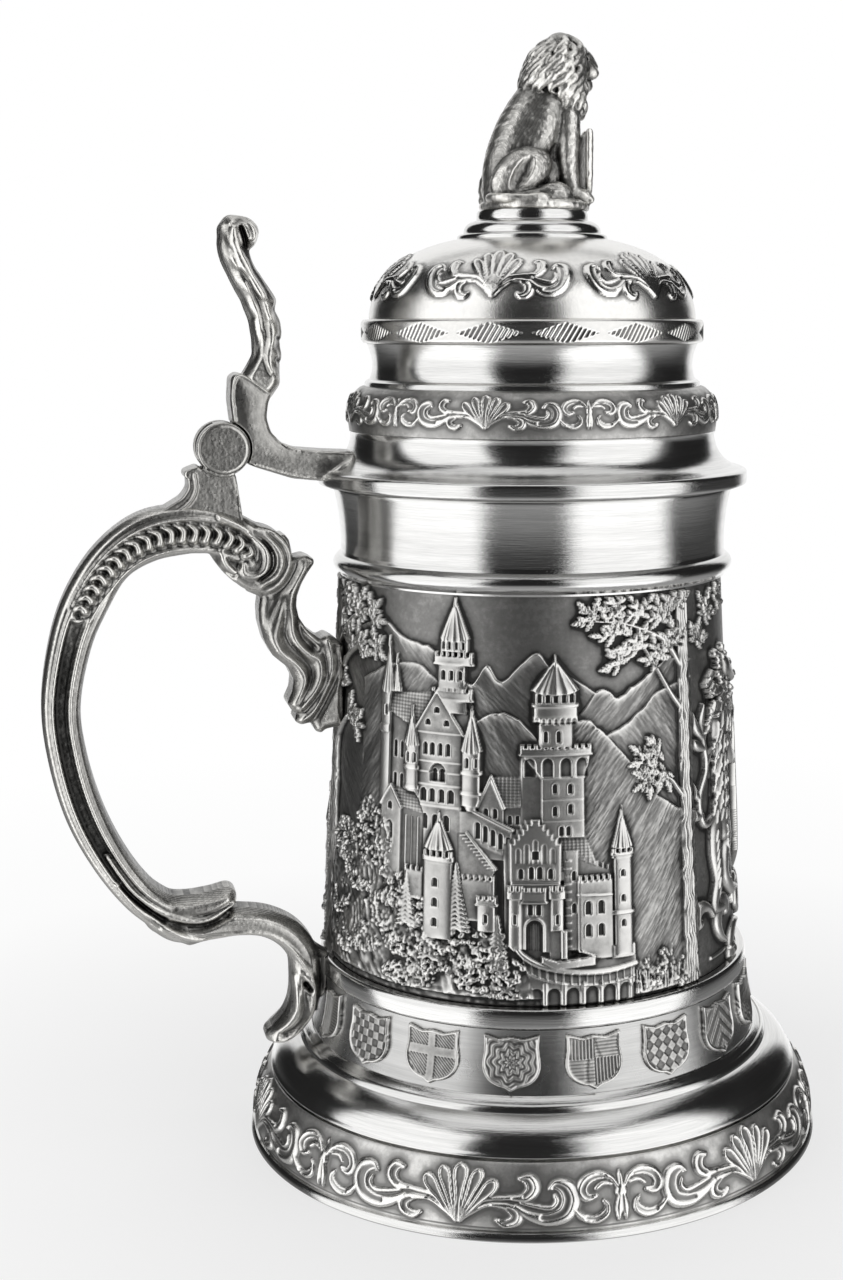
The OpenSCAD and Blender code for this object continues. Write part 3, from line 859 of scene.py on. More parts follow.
def leaves(art, spots, size, level, seed, root=(0.0, 90.0)):
    """Sprigs over round patches of (across, up, reach), fanning away from the tree they grow on."""
    rng = np.random.default_rng(seed)
    for s, z, reach in spots:
        way = math.atan2(z - root[1] + 6, s - root[0])
        for fan in (-0.95, 0.95, 0.0):
            turn = way + fan + rng.uniform(-0.15, 0.15)
            start = 0.35 * reach
            sprig(art, s - start * math.cos(way), z - start * math.sin(way), turn, reach * rng.uniform(0.85,
                    1.2), size, level + rng.uniform(-0.15, 0.15), rng)


def bush(art, s, z, wide, tall, level, seed, size=0.46, grow=0.5):
    """A heap of small tufts in a few clumps, the lower ones nearer."""
    rng = np.random.default_rng(seed)
    count = int(2.6 * wide * tall / size**2)
    places = rng.uniform(-1, 1, (count, 2))
    places = places[np.hypot(*places.T) < 1]
    for x, y in places[np.argsort(-places[:, 1])]:
        at, high = s + x * wide, z + y * tall
        clump = float(grain(np.array([at]), np.array([high]), 1.9, seed)[0])
        near = level + grow * (0.5 - 0.5 * y) + 0.55 * clump + rng.uniform(-0.12, 0.12)
        art.tuft(at, high, size * rng.uniform(0.5, 1.1), near)


def trunk(art, path, level, seed):
    """A tree trunk with deep bark."""
    line = flow(path)
    place = art.near(line, line[:, 2].max())
    x, z = art.x[place], art.z[place]
    if not x.size:
        return
    rise = rise_of(x, z, line)
    bark = 0.16 * np.cos(2 * math.pi * (x + 0.5 * grain(x, z, 2.0, seed)) / 0.75)
    bark = bark + 0.12 * grain(x, z * 0.4, 0.7, seed)
    body = level - 0.2 + 0.6 * np.sqrt(np.clip(rise * (2 - rise), 0, 1)) + bark
    art.cover(place, np.clip(rise * 6, 0, 1), body)


def round_tower(art, s, half, foot, crown, tip, level, lights=(), teeth=4, head=1.3):
    """A round tower with a battlement, a cone roof and narrow windows."""
    top = crown + 0.32 * half * head
    drum(art, s, half, foot, crown, level, 0.55)
    for z in lights:
        opening(art, s - 0.1 * half, z, 0.26 * half + 0.25, 0.3 * half + 0.8, 0.4)
    cone(art, s, half * head * 0.95, top + 0.5 * half, tip, level, 0.75)
    drum(art, s, half * head, crown, top, level + 0.1, 0.6)
    drum(art, s, half * head * 0.92, crown - 0.5, crown, level, 0.6)
    pitch = 2 * half * head / teeth
    for k in range(teeth):
        at = s - half * head + (k + 0.5) * pitch
        drum(art, at, 0.3 * pitch, top - 0.1, top + 0.36 * half, level + 0.35, 0.25)


def sky(art, seed):
    """Brushed sideways, and a little uneven."""
    art.h += 0.006 * grain(art.x * 0.08, art.z, 0.4, seed) + 0.05 * grain(art.x, art.z * 2, 16, seed)


def far_country(art):
    """The hills behind the castle."""
    hill(art, [(-47, 111), (-34, 112.5), (-24, 115), (-17, 112.2), (-9.9, 110.6), (-5, 106), (-1, 104.4),
               (2, 108), (4.6, 105), (8, 107.3), (12, 110.8), (15, 107.6), (20, 105.4), (26, 101.5),
               (31.5, 98), (39, 96), (50, 99)], 0.2, 1.0, 0.05, 3)
    hill(art, [(-30, 103), (-20, 107), (-14, 107.3), (-10, 105.6), (-4, 101), (2, 96), (8, 92)],
         0.3, -1.1, 0.05, 5)
    hill(art, [(-4, 92), (-1, 96), (2, 98.4), (5, 99), (8, 98), (12, 94), (15, 90)], 0.4, 1.4, 0.05, 7)
    hill(art, [(18, 97), (21.4, 99), (25.3, 103.4), (29, 101.4), (32, 103), (36, 105), (42, 108), (50, 107)],
         0.3, -1.0, 0.06, 9)
    hill(art, [(17, 91), (21, 92.5), (25.4, 93.7), (31, 96.4), (35, 99), (39.6, 102), (50, 104)],
         0.45, 1.1, 0.07, 11)
    hill(art, [(19, 97), (22, 97.6), (25, 95.4), (28, 92.6), (32, 88), (37, 82), (43, 78), (50, 76)],
         0.6, -1.3, 0.09, 13)


def palace(art):
    """The tall house of the castle with its towers and turrets."""
    drum(art, -4.9, 2.9, 98, 104, 0.75, 0.4)
    art.plate(block(-8, -1.5, 84, 98.4), 0.75, 0.1)
    drum(art, -5.4, 3.0, 98.4, 108, 0.75, 0.55)
    battlement(art, -9.8, -0.9, 101, 102.6, 1.15, 7, 0.7)
    battlement(art, -9.2, -0.9, 108, 109.6, 1.2, 7, 0.8)
    openings(art, (-7, -5.2, -3.4), 105, 0.8, 1.8)
    drum(art, -4.9, 3.1, 110.4, 113, 0.85, 0.6)
    openings(art, (-7, -5.7, -4.2, -2.8), 110.9, 0.6, 1.5)
    cone(art, -4.85, 3.3, 113, 120.4, 0.8, 0.8)

    for s, half, foot, base, tip in ((-18.8, 1.5, 88, 101, 108), (-21.1, 1.9, 78, 101.3, 111.5)):
        drum(art, s, half, foot, base, 0.65, 0.55)
        drum(art, s, half + 0.25, 93, 94.6, 0.85, 0.55)
        openings(art, (s,), 96.6, 0.7, 2.0)
        cone(art, s, half + 0.2, base, tip, 0.65, 0.6)

    art.plate([(-20, 66), (-12, 66), (-12, 95), (-20, 97.5)], 0.62, 0.1)
    openings(art, (-18.7, -16.9, -15.1, -13.3), 88.5, 0.62, 3.2)
    openings(art, (-18.7, -16.9, -15.1), 82.4, 0.62, 2.8)
    roof(art, [(-8.4, 102.5), (-20, 101.2), (-20.4, 97.2), (-13.5, 94.5)], 0.85, 0.06, 0.7)
    art.plate([(-13, 66), (-2.8, 66), (-2.7, 94.6), (-8.4, 102.5), (-13.5, 94.5)], 0.95, 0.15)
    for z in (94.3, 88.6, 86.5, 84.0, 79.8):
        art.rib([(-12.6, z, 0.26), (-3, z, 0.26)], 0.16)
    for end in (-13.7, -2.5):
        art.rib([(end, 94.2, 0.34), (-8.4, 102.6, 0.34)], 0.3, base=0.95)
    for s, z in ((-8.4, 98.8), (-10.4, 96.3), (-6.2, 96.3)):
        opening(art, s, z - 0.5, 1.0, 1.1)
    openings(art, (-10.9, -9.3, -7.5, -5.8), 89.9, 0.85, 2.4)
    opening(art, -8.0, 84.7, 3.4, 3.6, 0.35)
    openings(art, (-8.8, -7.2), 84.9, 0.9, 2.3)
    openings(art, (-11.2, -9.2, -7.1, -5.1), 80.6, 1.2, 2.6)
    openings(art, (-10.8, -8.4, -6.0), 75.2, 1.1, 2.9)
    openings(art, (-9.6, -6.8), 70.6, 1.0, 2.4)
    for s, foot, base, tip, wide in ((-14.1, 80.5, 91.5, 98.4, 1.9), (-0.9, 80.4, 91.3, 99.2, 2.2)):
        drum(art, s, wide * 0.86, foot, base, 1.1, 0.6)
        drum(art, s, wide, 86.6, 87.4, 1.2, 0.65)
        drum(art, s, wide, 82.6, 83.4, 1.2, 0.65)
        openings(art, (s - 0.3 * wide, s + 0.5 * wide), 88.1, 0.55, 1.9)
        cone(art, s, wide, base, tip, 1.1, 0.65)
        art.rib([(s, foot + 0.6, wide * 0.8), (s, foot - 2.0, 0.15)], 0.6, base=1.0)


def great_tower(art):
    """The tall tower with its gallery and the arched platform."""
    art.plate(block(9, 13.4, 60, 91), 0.75, 0.1)
    art.plate(block(13, 21.6, 66, 90), 1.05, 0.15)
    art.plate([(9, 91), (13, 86.2), (21.7, 86.2), (22.9, 91)], 1.25, 0.15)
    for s in (10.9, 14.4, 18.0, 21.2):
        art.press(arch(s - 0.1, 86.6, 2.1, 3.6), -0.45)
    battlement(art, 8.9, 23.0, 91, 92.2, 1.5, 11, 0.7)
    drum(art, 15.9, 3.4, 92.3, 97.4, 0.95, 0.6)
    openings(art, (13.9, 16.4), 93.4, 0.8, 2.2)
    drum(art, 15.9, 4.5, 97.2, 98.5, 1.05, 0.7)
    for k in range(7):
        art.press(arch(12.3 + 1.2 * k, 96.9, 0.7, 1.1), -0.3)
    drum(art, 15.9, 4.4, 98.4, 100.8, 1.1, 0.7)
    drum(art, 15.9, 4.7, 100.2, 100.9, 1.25, 0.7)
    drum(art, 15.9, 4.2, 100.8, 103.4, 0.95, 0.6)
    openings(art, (12.7, 14.3, 15.9, 17.5, 19.1), 101.1, 0.85, 1.7)
    cone(art, 15.9, 4.9, 103.4, 109.4, 0.95, 0.9)
    for s, z in ((15.7, 83.4), (18.7, 83.3), (18.7, 79.4), (15.7, 79.0), (16.9, 75.0), (18.3, 75.0)):
        opening(art, s, z, 0.8, 1.8)
    for z in (82.2, 78.0):
        art.rib([(13.2, z, 0.2), (21.5, z, 0.2)], 0.1)
    roof(art, [(16.4, 74.6), (22, 74.4), (24.5, 68), (16.4, 68)], 1.0)


def middle_houses(art):
    """The chapel, the houses, the stairs and the arcade in the middle."""
    gabled(art, -22.4, -16.5, 62, 78.7, 82.6, 1.0, run=(-11.2, -0.6))
    for s in (-15.4, -13.9, -12.4):
        art.rib([(s, 66, 0.3), (s, 77, 0.3)], 0.25)
    opening(art, -19.6, 71, 1.5, 4.4)
    opening(art, -19.6, 77.8, 1.0, 1.4)
    gabled(art, 0.5, 5.7, 70, 80.6, 86.4, 0.95, run=(10.9, 0.4))
    openings(art, (2.2, 4.0), 78.4, 0.8, 1.8)
    openings(art, (6.9, 8.4, 9.8), 77.2, 0.7, 1.7)
    art.plate([(-3.2, 74), (7.4, 70.5), (7.4, 76), (-0.1, 79.4), (-3.2, 79.4)], 1.05, 0.1)
    art.rib([(-0.4, 79.6, 0.4), (7.3, 76.1, 0.4)], 0.35, base=1.1)
    for k in range(5):
        opening(art, 0.6 + 1.5 * k, 74.2 - 0.66 * k, 0.9, 3.2, 0.4)
    art.plate([(-3.4, 75), (-1.6, 75.2), (4.4, 68), (3.0, 66.2), (-3.4, 66.2)], 0.95, 0.1)
    for k in range(11):
        s, z = -2.9 + 0.56 * k, 74.6 - 0.62 * k
        art.rib([(s, z, 0.2), (s + 1.0, z + 0.1, 0.2)], 0.2)
    art.rib([(-1.6, 75.2, 0.3), (4.2, 68.2, 0.3)], 0.3, base=1.1)
    battlement(art, -15.4, -10.8, 61, 66.4, 1.15, 4)
    battlement(art, -2.6, 4.0, 58, 66.0, 1.15, 6)
    drum(art, 2.5, 1.8, 55.8, 61.6, 1.3, 0.5)
    battlement(art, 0.5, 4.5, 61.2, 62.3, 1.65, 4, 0.6)
    opening(art, 2.4, 57.6, 0.7, 1.8)


def gatehouse(art):
    """The gatehouse with its stepped gable, corner turrets, balcony and door."""
    for shift, level in ((-1.3, 0.95), (0, 1.35)):
        steps = [(7.3 + shift, 50)]
        for k in range(6):
            steps += [(6.9 + 0.83 * k + shift, 72.5 + 0.95 * k), (6.9 + 0.83 * k + shift, 73.5 + 0.95 * k)]
        mirrored = [(23.8 + 2 * shift - s, z) for s, z in steps[::-1]]
        art.plate(steps + mirrored, level, 0.12)
    for s in (8.6, 10.2, 11.9, 13.6, 15.2):
        art.press(arch(s, 69.6, 0.9, 3.0 + 1.7 * (3.3 - abs(s - 11.9)) / 3.3), -0.14)
    opening(art, 11.9, 70.4, 1.3, 1.6, shape=pane)
    openings(art, (11.1, 12.7), 66.6, 1.0, 2.4)
    openings(art, (9.1, 14.8), 66.6, 0.9, 2.0)
    art.rib([(7.4, 65.7, 0.3), (16.4, 65.7, 0.3)], 0.22)
    for s in (8.0, 16.0):
        drum(art, s, 1.25, 52, 63.2, 1.45, 0.4)
        drum(art, s, 1.6, 62.6, 64.2, 1.55, 0.45)
        for k in range(3):
            art.plate(block(s - 1.5 + 1.1 * k, s - 0.8 + 1.1 * k, 64.0, 65.2), 1.8, 0.05)
        openings(art, (s,), 57.6, 0.6, 2.0)
    battlement(art, 9.3, 13.9, 62.0, 64.2, 1.7, 5, 0.7)
    openings(art, (10.9, 12.5), 59.4, 0.9, 2.1)
    art.press(arch(11.7, 52, 3.9, 7.0), 0.2)
    art.press(arch(11.7, 52, 3.2, 6.4), -0.75)
    for k in range(6):
        s = 10.5 + 0.5 * k
        art.rib([(s, 52.2, 0.1), (s, 57.6, 0.1)], 0.12)


def right_wing(art):
    """The side wing, the curved wall and the slim tower on the right."""
    art.plate(block(17.3, 20.2, 52, 72), 1.1, 0.12)
    for k in range(12):
        z = 53 + 1.55 * k
        art.rib([(17.4 + 0.5 * (k % 2), z, 0.26), (18.6, z, 0.26)], 0.16)
    openings(art, (19.3,), 66, 0.7, 1.9)
    openings(art, (19.3,), 59.6, 0.7, 1.9)
    art.plate([(20.2, 66), (26.8, 64), (26.8, 67.5), (20.2, 70.3)], 0.85, 0.1)
    for k in range(6):
        art.plate(block(20.4 + 1.1 * k, 21.0 + 1.1 * k, 69.9 - 0.46 * k, 71.0 - 0.46 * k), 0.9, 0.05)
    art.plate(block(20, 27, 50, 66), barrelled(23, 5, 1.2, 0.3), 0.1)
    art.rib([(20, 63.2, 0.3), (26.8, 62.8, 0.3)], 0.25)
    for k in range(6):
        art.plate(block(20.2 + 1.16 * k, 20.85 + 1.16 * k, 65.6, 66.9), 1.6, 0.05)
    for s in (22.0, 24.5):
        opening(art, s, 59.2, 1.1, 2.6)
        opening(art, s, 54.8, 1.1, 2.4)
    drum(art, 29.2, 2.6, 48.3, 52.5, 1.1, 0.5)
    round_tower(art, 29.2, 1.9, 50.5, 70.3, 79.2, 1.15, (66.2, 61.2, 56.2), 4, 1.28)
    drum(art, 29.2, 2.4, 58.6, 59.4, 1.3, 0.6)


def forecourt(art):
    """The curved edge of the yard on its piers."""
    edge = [(8.0, 53.2, 0.55), (9.6, 51.2, 0.6), (12.5, 49.4, 0.65), (16.5, 48.3, 0.7), (21, 47.7, 0.7),
            (26, 47.6, 0.7), (31.6, 48.4, 0.6)]
    low = [(s, z - 8.4) for s, z, _ in edge[::-1]]
    art.plate([(s, z) for s, z, _ in edge] + low, 1.15, 0.1)
    yard = [(s, z) for s, z, _ in edge] + [(31.6, 49.8), (26, 49.8), (18, 51.4), (9.0, 52.6)]
    art.plate(yard, lambda x, z: 1.42 - 0.1 * (z - 47) + 0.02 * grain(x, z, 0.8, 77))
    art.plate([(14.5, 50.8), (16.7, 50.2), (16.7, 56.3), (14.5, 56.2)], 1.4, 0.08)
    art.plate(block(16.7, 17.9, 50.6, 56.3), 1.9, 0.08)
    art.plate([(13.1, 51.1), (15.9, 50.2), (23.3, 50.9), (23.3, 49.0), (15.7, 48.5), (13.0, 50.0)],
              1.85, 0.08)
    art.press([(18.0, 50.7), (22.2, 51.0), (20.5, 51.6), (18.2, 51.4)], -0.6)
    art.rib([(13.1, 51.1, 0.22), (15.9, 50.2, 0.24), (23.2, 50.9, 0.24), (20.6, 51.8, 0.2)], 0.3)
    art.stroke(edge, 0.55, base=1.2)
    art.stroke([(s, z - 2.6, 0.3) for s, z, _ in edge], 0.2)
    for k in range(15):
        s = 9.6 + 1.5 * k
        z = np.interp(s, [p[0] for p in edge], [p[1] for p in edge])
        art.rib([(s, z - 0.6, 0.18), (s, z - 2.5, 0.18)], 0.18)
    for s in (10.4, 13.7, 17.3, 21, 24.5, 27.8, 30.4):
        art.press(arch(s + 1.7, 40, 2.4, 4.6), -0.4)
        art.rib([(s, 45.4, 0.5), (s, 40.4, 0.5)], 0.22)


def rocks_and_bushes(art):
    """The wooded rock that the castle stands on."""
    cliff = [(-46, 62), (-38, 66), (-33, 67.5), (-28, 70), (-24, 68), (-19, 66), (-14, 60.5), (-8, 56.4),
             (-3, 57), (2, 55.5), (6, 54), (9, 51), (11, 46), (12, 39), (-46, 39)]

    def crag(x, z):
        """Broken rock in slanting layers."""
        layers = 0.75 + 0.06 * np.cos(2 * math.pi * (x * 0.9 + 0.35 * z + 2.5 * grain(x, z, 4.5, 21)) / 2.1)
        return layers + 0.3 * grain(x, z, 2.4, 23) + 0.12 * grain(x, z, 0.8, 25) + 0.012 * (60 - z)

    art.plate(cliff, crag)
    heaps = [(-36, 68, 6.5, 4.5, 0.75), (-27, 73, 3.6, 6.0, 0.8), (-22, 70.5, 3.2, 6.6, 1.0),
             (-29, 63, 5.5, 4.0, 0.9), (-18, 62, 3.2, 4.2, 1.1), (-22, 57, 4.4, 3.6, 1.1),
             (-12, 58, 4.0, 3.6, 1.2), (-16, 52, 5.0, 3.6, 1.25), (-6, 55, 4.4, 3.6, 1.2),
             (-10, 49, 4.6, 3.2, 1.35), (-3, 50, 4.6, 3.8, 1.3), (3, 53, 3.6, 3.2, 1.3),
             (-26, 50, 5.0, 3.0, 1.1), (1, 46.5, 5.4, 3.0, 1.45), (6.5, 48.4, 3.2, 3.0, 1.4),
             (-14, 45, 6.0, 2.4, 1.3), (-38, 56, 5.0, 4.0, 0.9), (-34, 48, 6.0, 3.0, 1.05),
             (7, 43.2, 4.0, 1.8, 1.4)]
    for k, (s, z, wide, tall, level) in enumerate(heaps):
        bush(art, s, z, wide, tall, level - 0.3, 40 + k, 0.42 + 0.07 * (k % 3), 0.55)
    for s, foot, tip, half in ((-3.6, 55.5, 69, 2.6), (-9.2, 49.0, 57.5, 2.2), (-14.6, 55, 66, 2.2),
                               (4.6, 49, 59, 2.0)):
        fir(art, s, foot, tip, half, 1.25)
    art.plate(block(-46, 13, 39, 42.4), lambda x, z: 0.45 + 0.12 * grain(x, z, 0.9, 71))


def fir(art, s, foot, tip, half, level):
    """A conifer: drooping twigs from the top down."""
    rows = int((tip - foot) / 0.85)
    for k in range(rows):
        share = (k + 1) / rows
        z = tip - (tip - foot) * share
        for side in (-1, 1):
            for reach in (1.0, 0.5):
                x = s + side * half * share * reach
                art.rib([(s, z + 0.8, 0.3), (x, z, 0.34)], 0.3, base=level - 0.25 + 0.3 * share)


def grass(art, left, right, ground, count, tall, level, seed):
    """A row of leaning blades."""
    rng = np.random.default_rng(seed)
    for s in np.linspace(left, right, count):
        lean = rng.uniform(-0.9, 0.9)
        high = tall * rng.uniform(0.5, 1.3)
        art.rib([(s, ground - 0.6, 0.2), (s + lean, ground + high, 0.08)], 0.22, base=level)


def framing_trees(art):
    """The oaks at both sides, with leaves across the top corners."""
    trunk(art, [(-44.6, 39, 2.6), (-44.4, 70, 1.9), (-44.2, 100, 1.7), (-44.4, 122, 1.6)], 0.8, 81)
    for path in ([(-44, 100, 0.8), (-38, 106, 0.55), (-30, 110, 0.3)],
                 [(-44, 88, 0.7), (-38, 93, 0.4), (-34, 95, 0.2)],
                 [(-44, 108, 0.7), (-36, 114, 0.5), (-27, 117, 0.25)]):
        art.stroke(path, 0.6, base=0.6)
    leaves(art, [(-40, 117, 4.6), (-33, 116.5, 4.2), (-27, 116, 3.2), (-38, 109.5, 4.0), (-31.5, 109, 3.2),
                 (-25.6, 109.6, 2.0), (-36, 95.5, 2.6), (-32.4, 93, 1.9), (-41, 101.5, 2.6)], 2.3, 0.75, 83,
           (-45, 100))
    trunk(art, [(46.0, 39, 2.4), (45.7, 60, 1.8), (45.6, 90, 1.7), (45.9, 122, 1.8)], 0.95, 85)
    for path in ([(45.2, 97.5, 0.8), (42, 101, 0.55), (38.5, 106, 0.35), (35, 111, 0.2)],
                 [(45.2, 79.6, 0.7), (43, 82, 0.5), (41.4, 83.8, 0.4), (37.6, 86, 0.2)],
                 [(45.3, 106, 0.7), (40, 112, 0.5), (31, 115.6, 0.3), (24, 116.5, 0.2)]):
        art.stroke(path, 0.6, base=0.7)
    leaves(art, [(23.6, 117.4, 2.4), (28, 114.4, 3.4), (28.6, 119, 2.6), (34, 118, 3.6), (33.4, 111.4, 3.6),
                 (39.4, 116.6, 3.8), (38.8, 109, 3.2), (43.5, 111.5, 3.2), (29, 108.4, 2.2),
                 (44.5, 119, 3.0), (34.6, 88.6, 2.6), (37.8, 90, 2.4), (35.4, 84.8, 2.2), (39.6, 85, 2.0)],
           2.4, 0.8, 87, (46, 98))
    for k, (s, z, wide, tall) in enumerate([(35.5, 45.6, 3.4, 3.4), (40, 46.6, 3.6, 3.8),
                                            (44, 44.2, 3.0, 3.4)]):
        bush(art, s, z, wide, tall, 0.7, 90 + k, 0.55, 0.5)
    grass(art, 32, 48.6, 42.4, 42, 3.4, 0.9, 95)


def castle_scene(art):
    """The first scene: a hill castle with pointed towers between two oaks."""
    sky(art, 101)
    far_country(art)
    palace(art)
    middle_houses(art)
    great_tower(art)
    right_wing(art)
    gatehouse(art)
    forecourt(art)
    rocks_and_bushes(art)
    round_tower(art, -7.5, 3.05, 53.5, 69, 78, 1.3, (64, 60, 56), 5, 1.1)
    bush(art, -8, 52.4, 4.6, 2.4, 1.35, 103, 0.6, 0.4)
    framing_trees(art)


def lake_scene(art):
    """The scene at the back: a castle with a broad keep above a lake."""
    sky(art, 201)
    hill(art, [(-50, 96), (-40, 101), (-31, 107), (-24, 102), (-15, 106), (-6, 112), (2, 106), (12, 101),
               (22, 106), (31, 101), (41, 104), (50, 98)], 0.2, 1.1, 0.05, 203)
    hill(art, [(-50, 88), (-36, 93), (-24, 90), (-10, 84), (8, 86), (24, 93), (38, 90), (50, 84)], 0.4,
         -1.2, 0.06, 205)
    round_tower(art, -20, 3.0, 58, 86, 97, 0.8, (82, 76, 70, 64), 5, 1.2)
    round_tower(art, 17.5, 3.6, 58, 91, 104, 0.85, (87, 81, 75, 69), 6, 1.2)
    roof(art, [(-16, 96), (9, 96), (12.5, 87.5), (-18.5, 87.5)], 0.85, 0.05, 0.8)
    art.plate(block(-18, 12, 58, 87.8), 0.95, 0.15)
    for z in (72.2, 79.4, 87.2):
        art.rib([(-18, z, 0.32), (12, z, 0.32)], 0.22)
    for z in (60.5, 67, 74.2, 81.4):
        openings(art, np.linspace(-15.5, 9.5, 9), z, 1.3, 3.4)
    for s in (-12, -3, 6):
        gabled(art, s - 1.8, s + 1.8, 86.5, 91.2, 94.2, 1.2)
        opening(art, s, 88, 1.0, 2.4)
    cone(art, -3, 2.6, 101.4, 114, 0.95, 0.8)
    drum(art, -3, 2.3, 95.6, 101.6, 0.95, 0.6)
    openings(art, (-4.2, -3.0, -1.8), 97.2, 0.7, 2.6)
    for s, half, crown, tip in ((-31, 2.2, 73, 82), (28, 2.4, 76, 86), (36.5, 1.9, 66, 75)):
        round_tower(art, s, half, 52, crown, tip, 1.1, (crown - 5, crown - 11), 5, 1.25)
    battlement(art, -30, -17, 50, 64, 1.2, 10)
    battlement(art, 11, 36, 50, 62, 1.2, 17)
    openings(art, np.linspace(-27, -19, 4), 56, 1.1, 3.0)
    openings(art, np.linspace(14, 33, 7), 54, 1.1, 3.0)
    gabled(art, -8.5, 2.5, 50, 66, 73, 1.4)
    opening(art, -3, 51, 4.2, 8.6, 0.7)
    openings(art, (-6.4, 0.4), 61.4, 1.0, 2.6)
    openings(art, (-3,), 67, 1.6, 2.4)
    shore = [(-46, 55), (-36, 57), (-26, 53.4), (-12, 51.4), (6, 51.6), (22, 53), (34, 55.4), (46, 57),
             (46, 39), (-46, 39)]
    art.plate(shore, lambda x, z: 0.9 + 0.3 * grain(x, z, 2.4, 207) + 0.12
              * np.cos(2 * math.pi * (x + 0.5 * z) / 2.0))
    lake = [(-26, 47.6), (-12, 46.6), (6, 46.8), (24, 47.8), (34, 46), (30, 39), (-32, 39)]
    art.plate(lake, lambda x, z: 0.5 + 0.09 * np.cos(2 * math.pi * (z + 0.3 * grain(x, z, 5, 209)) / 1.15))
    for k, (s, z, wide, tall) in enumerate([(-38, 54, 6, 5), (-30, 50.6, 6, 3.6), (-20, 49.8, 5, 2.6),
                                            (-8, 48.8, 5, 2), (6, 48.8, 5.6, 2.2), (17, 49.8, 6, 2.6),
                                            (28, 51, 6.4, 3.4), (38, 53, 6, 5), (-37, 45, 5, 3.6),
                                            (37, 45, 5, 3.6)]):
        bush(art, s, z, wide, tall, 1.0, 210 + k, 0.6, 0.5)
    for s, foot, tip, half in ((-33, 53, 70, 3.0), (-40, 56, 76, 3.4), (40, 56, 74, 3.2), (33, 52, 64, 2.6)):
        fir(art, s, foot, tip, half, 1.3)
    trunk(art, [(-44, 39, 2.4), (-43.6, 70, 1.8), (-43.8, 122, 1.6)], 0.9, 231)
    trunk(art, [(44, 39, 2.4), (43.8, 70, 1.8), (44, 122, 1.6)], 0.9, 233)
    leaves(art, [(-38, 117, 4.4), (-31, 116, 3.6), (-38, 108, 3.6), (-32, 109, 2.6), (38, 117, 4.4),
                 (31, 116, 3.6), (38, 108, 3.6), (32, 109, 2.6), (37, 98, 2.6), (-37, 98, 2.6)], 2.4, 0.8,
           235, (0, 60))


def curl(art, s, z, turn, size, lift, base, hand=1):
    """A leaf scroll that starts along turn and rolls up."""
    t = np.linspace(0, 1, 12)
    bend = turn + hand * 4.6 * t**1.3
    run = size * 0.15 * (1.25 - t)
    path = np.cumsum(np.stack([run * np.cos(bend), run * np.sin(bend)], -1), 0) + (s, z)
    half = size * (0.05 + 0.1 * np.sin(math.pi * t) + 0.06 * t)
    art.stroke(np.column_stack([path, half]), lift, base=base)


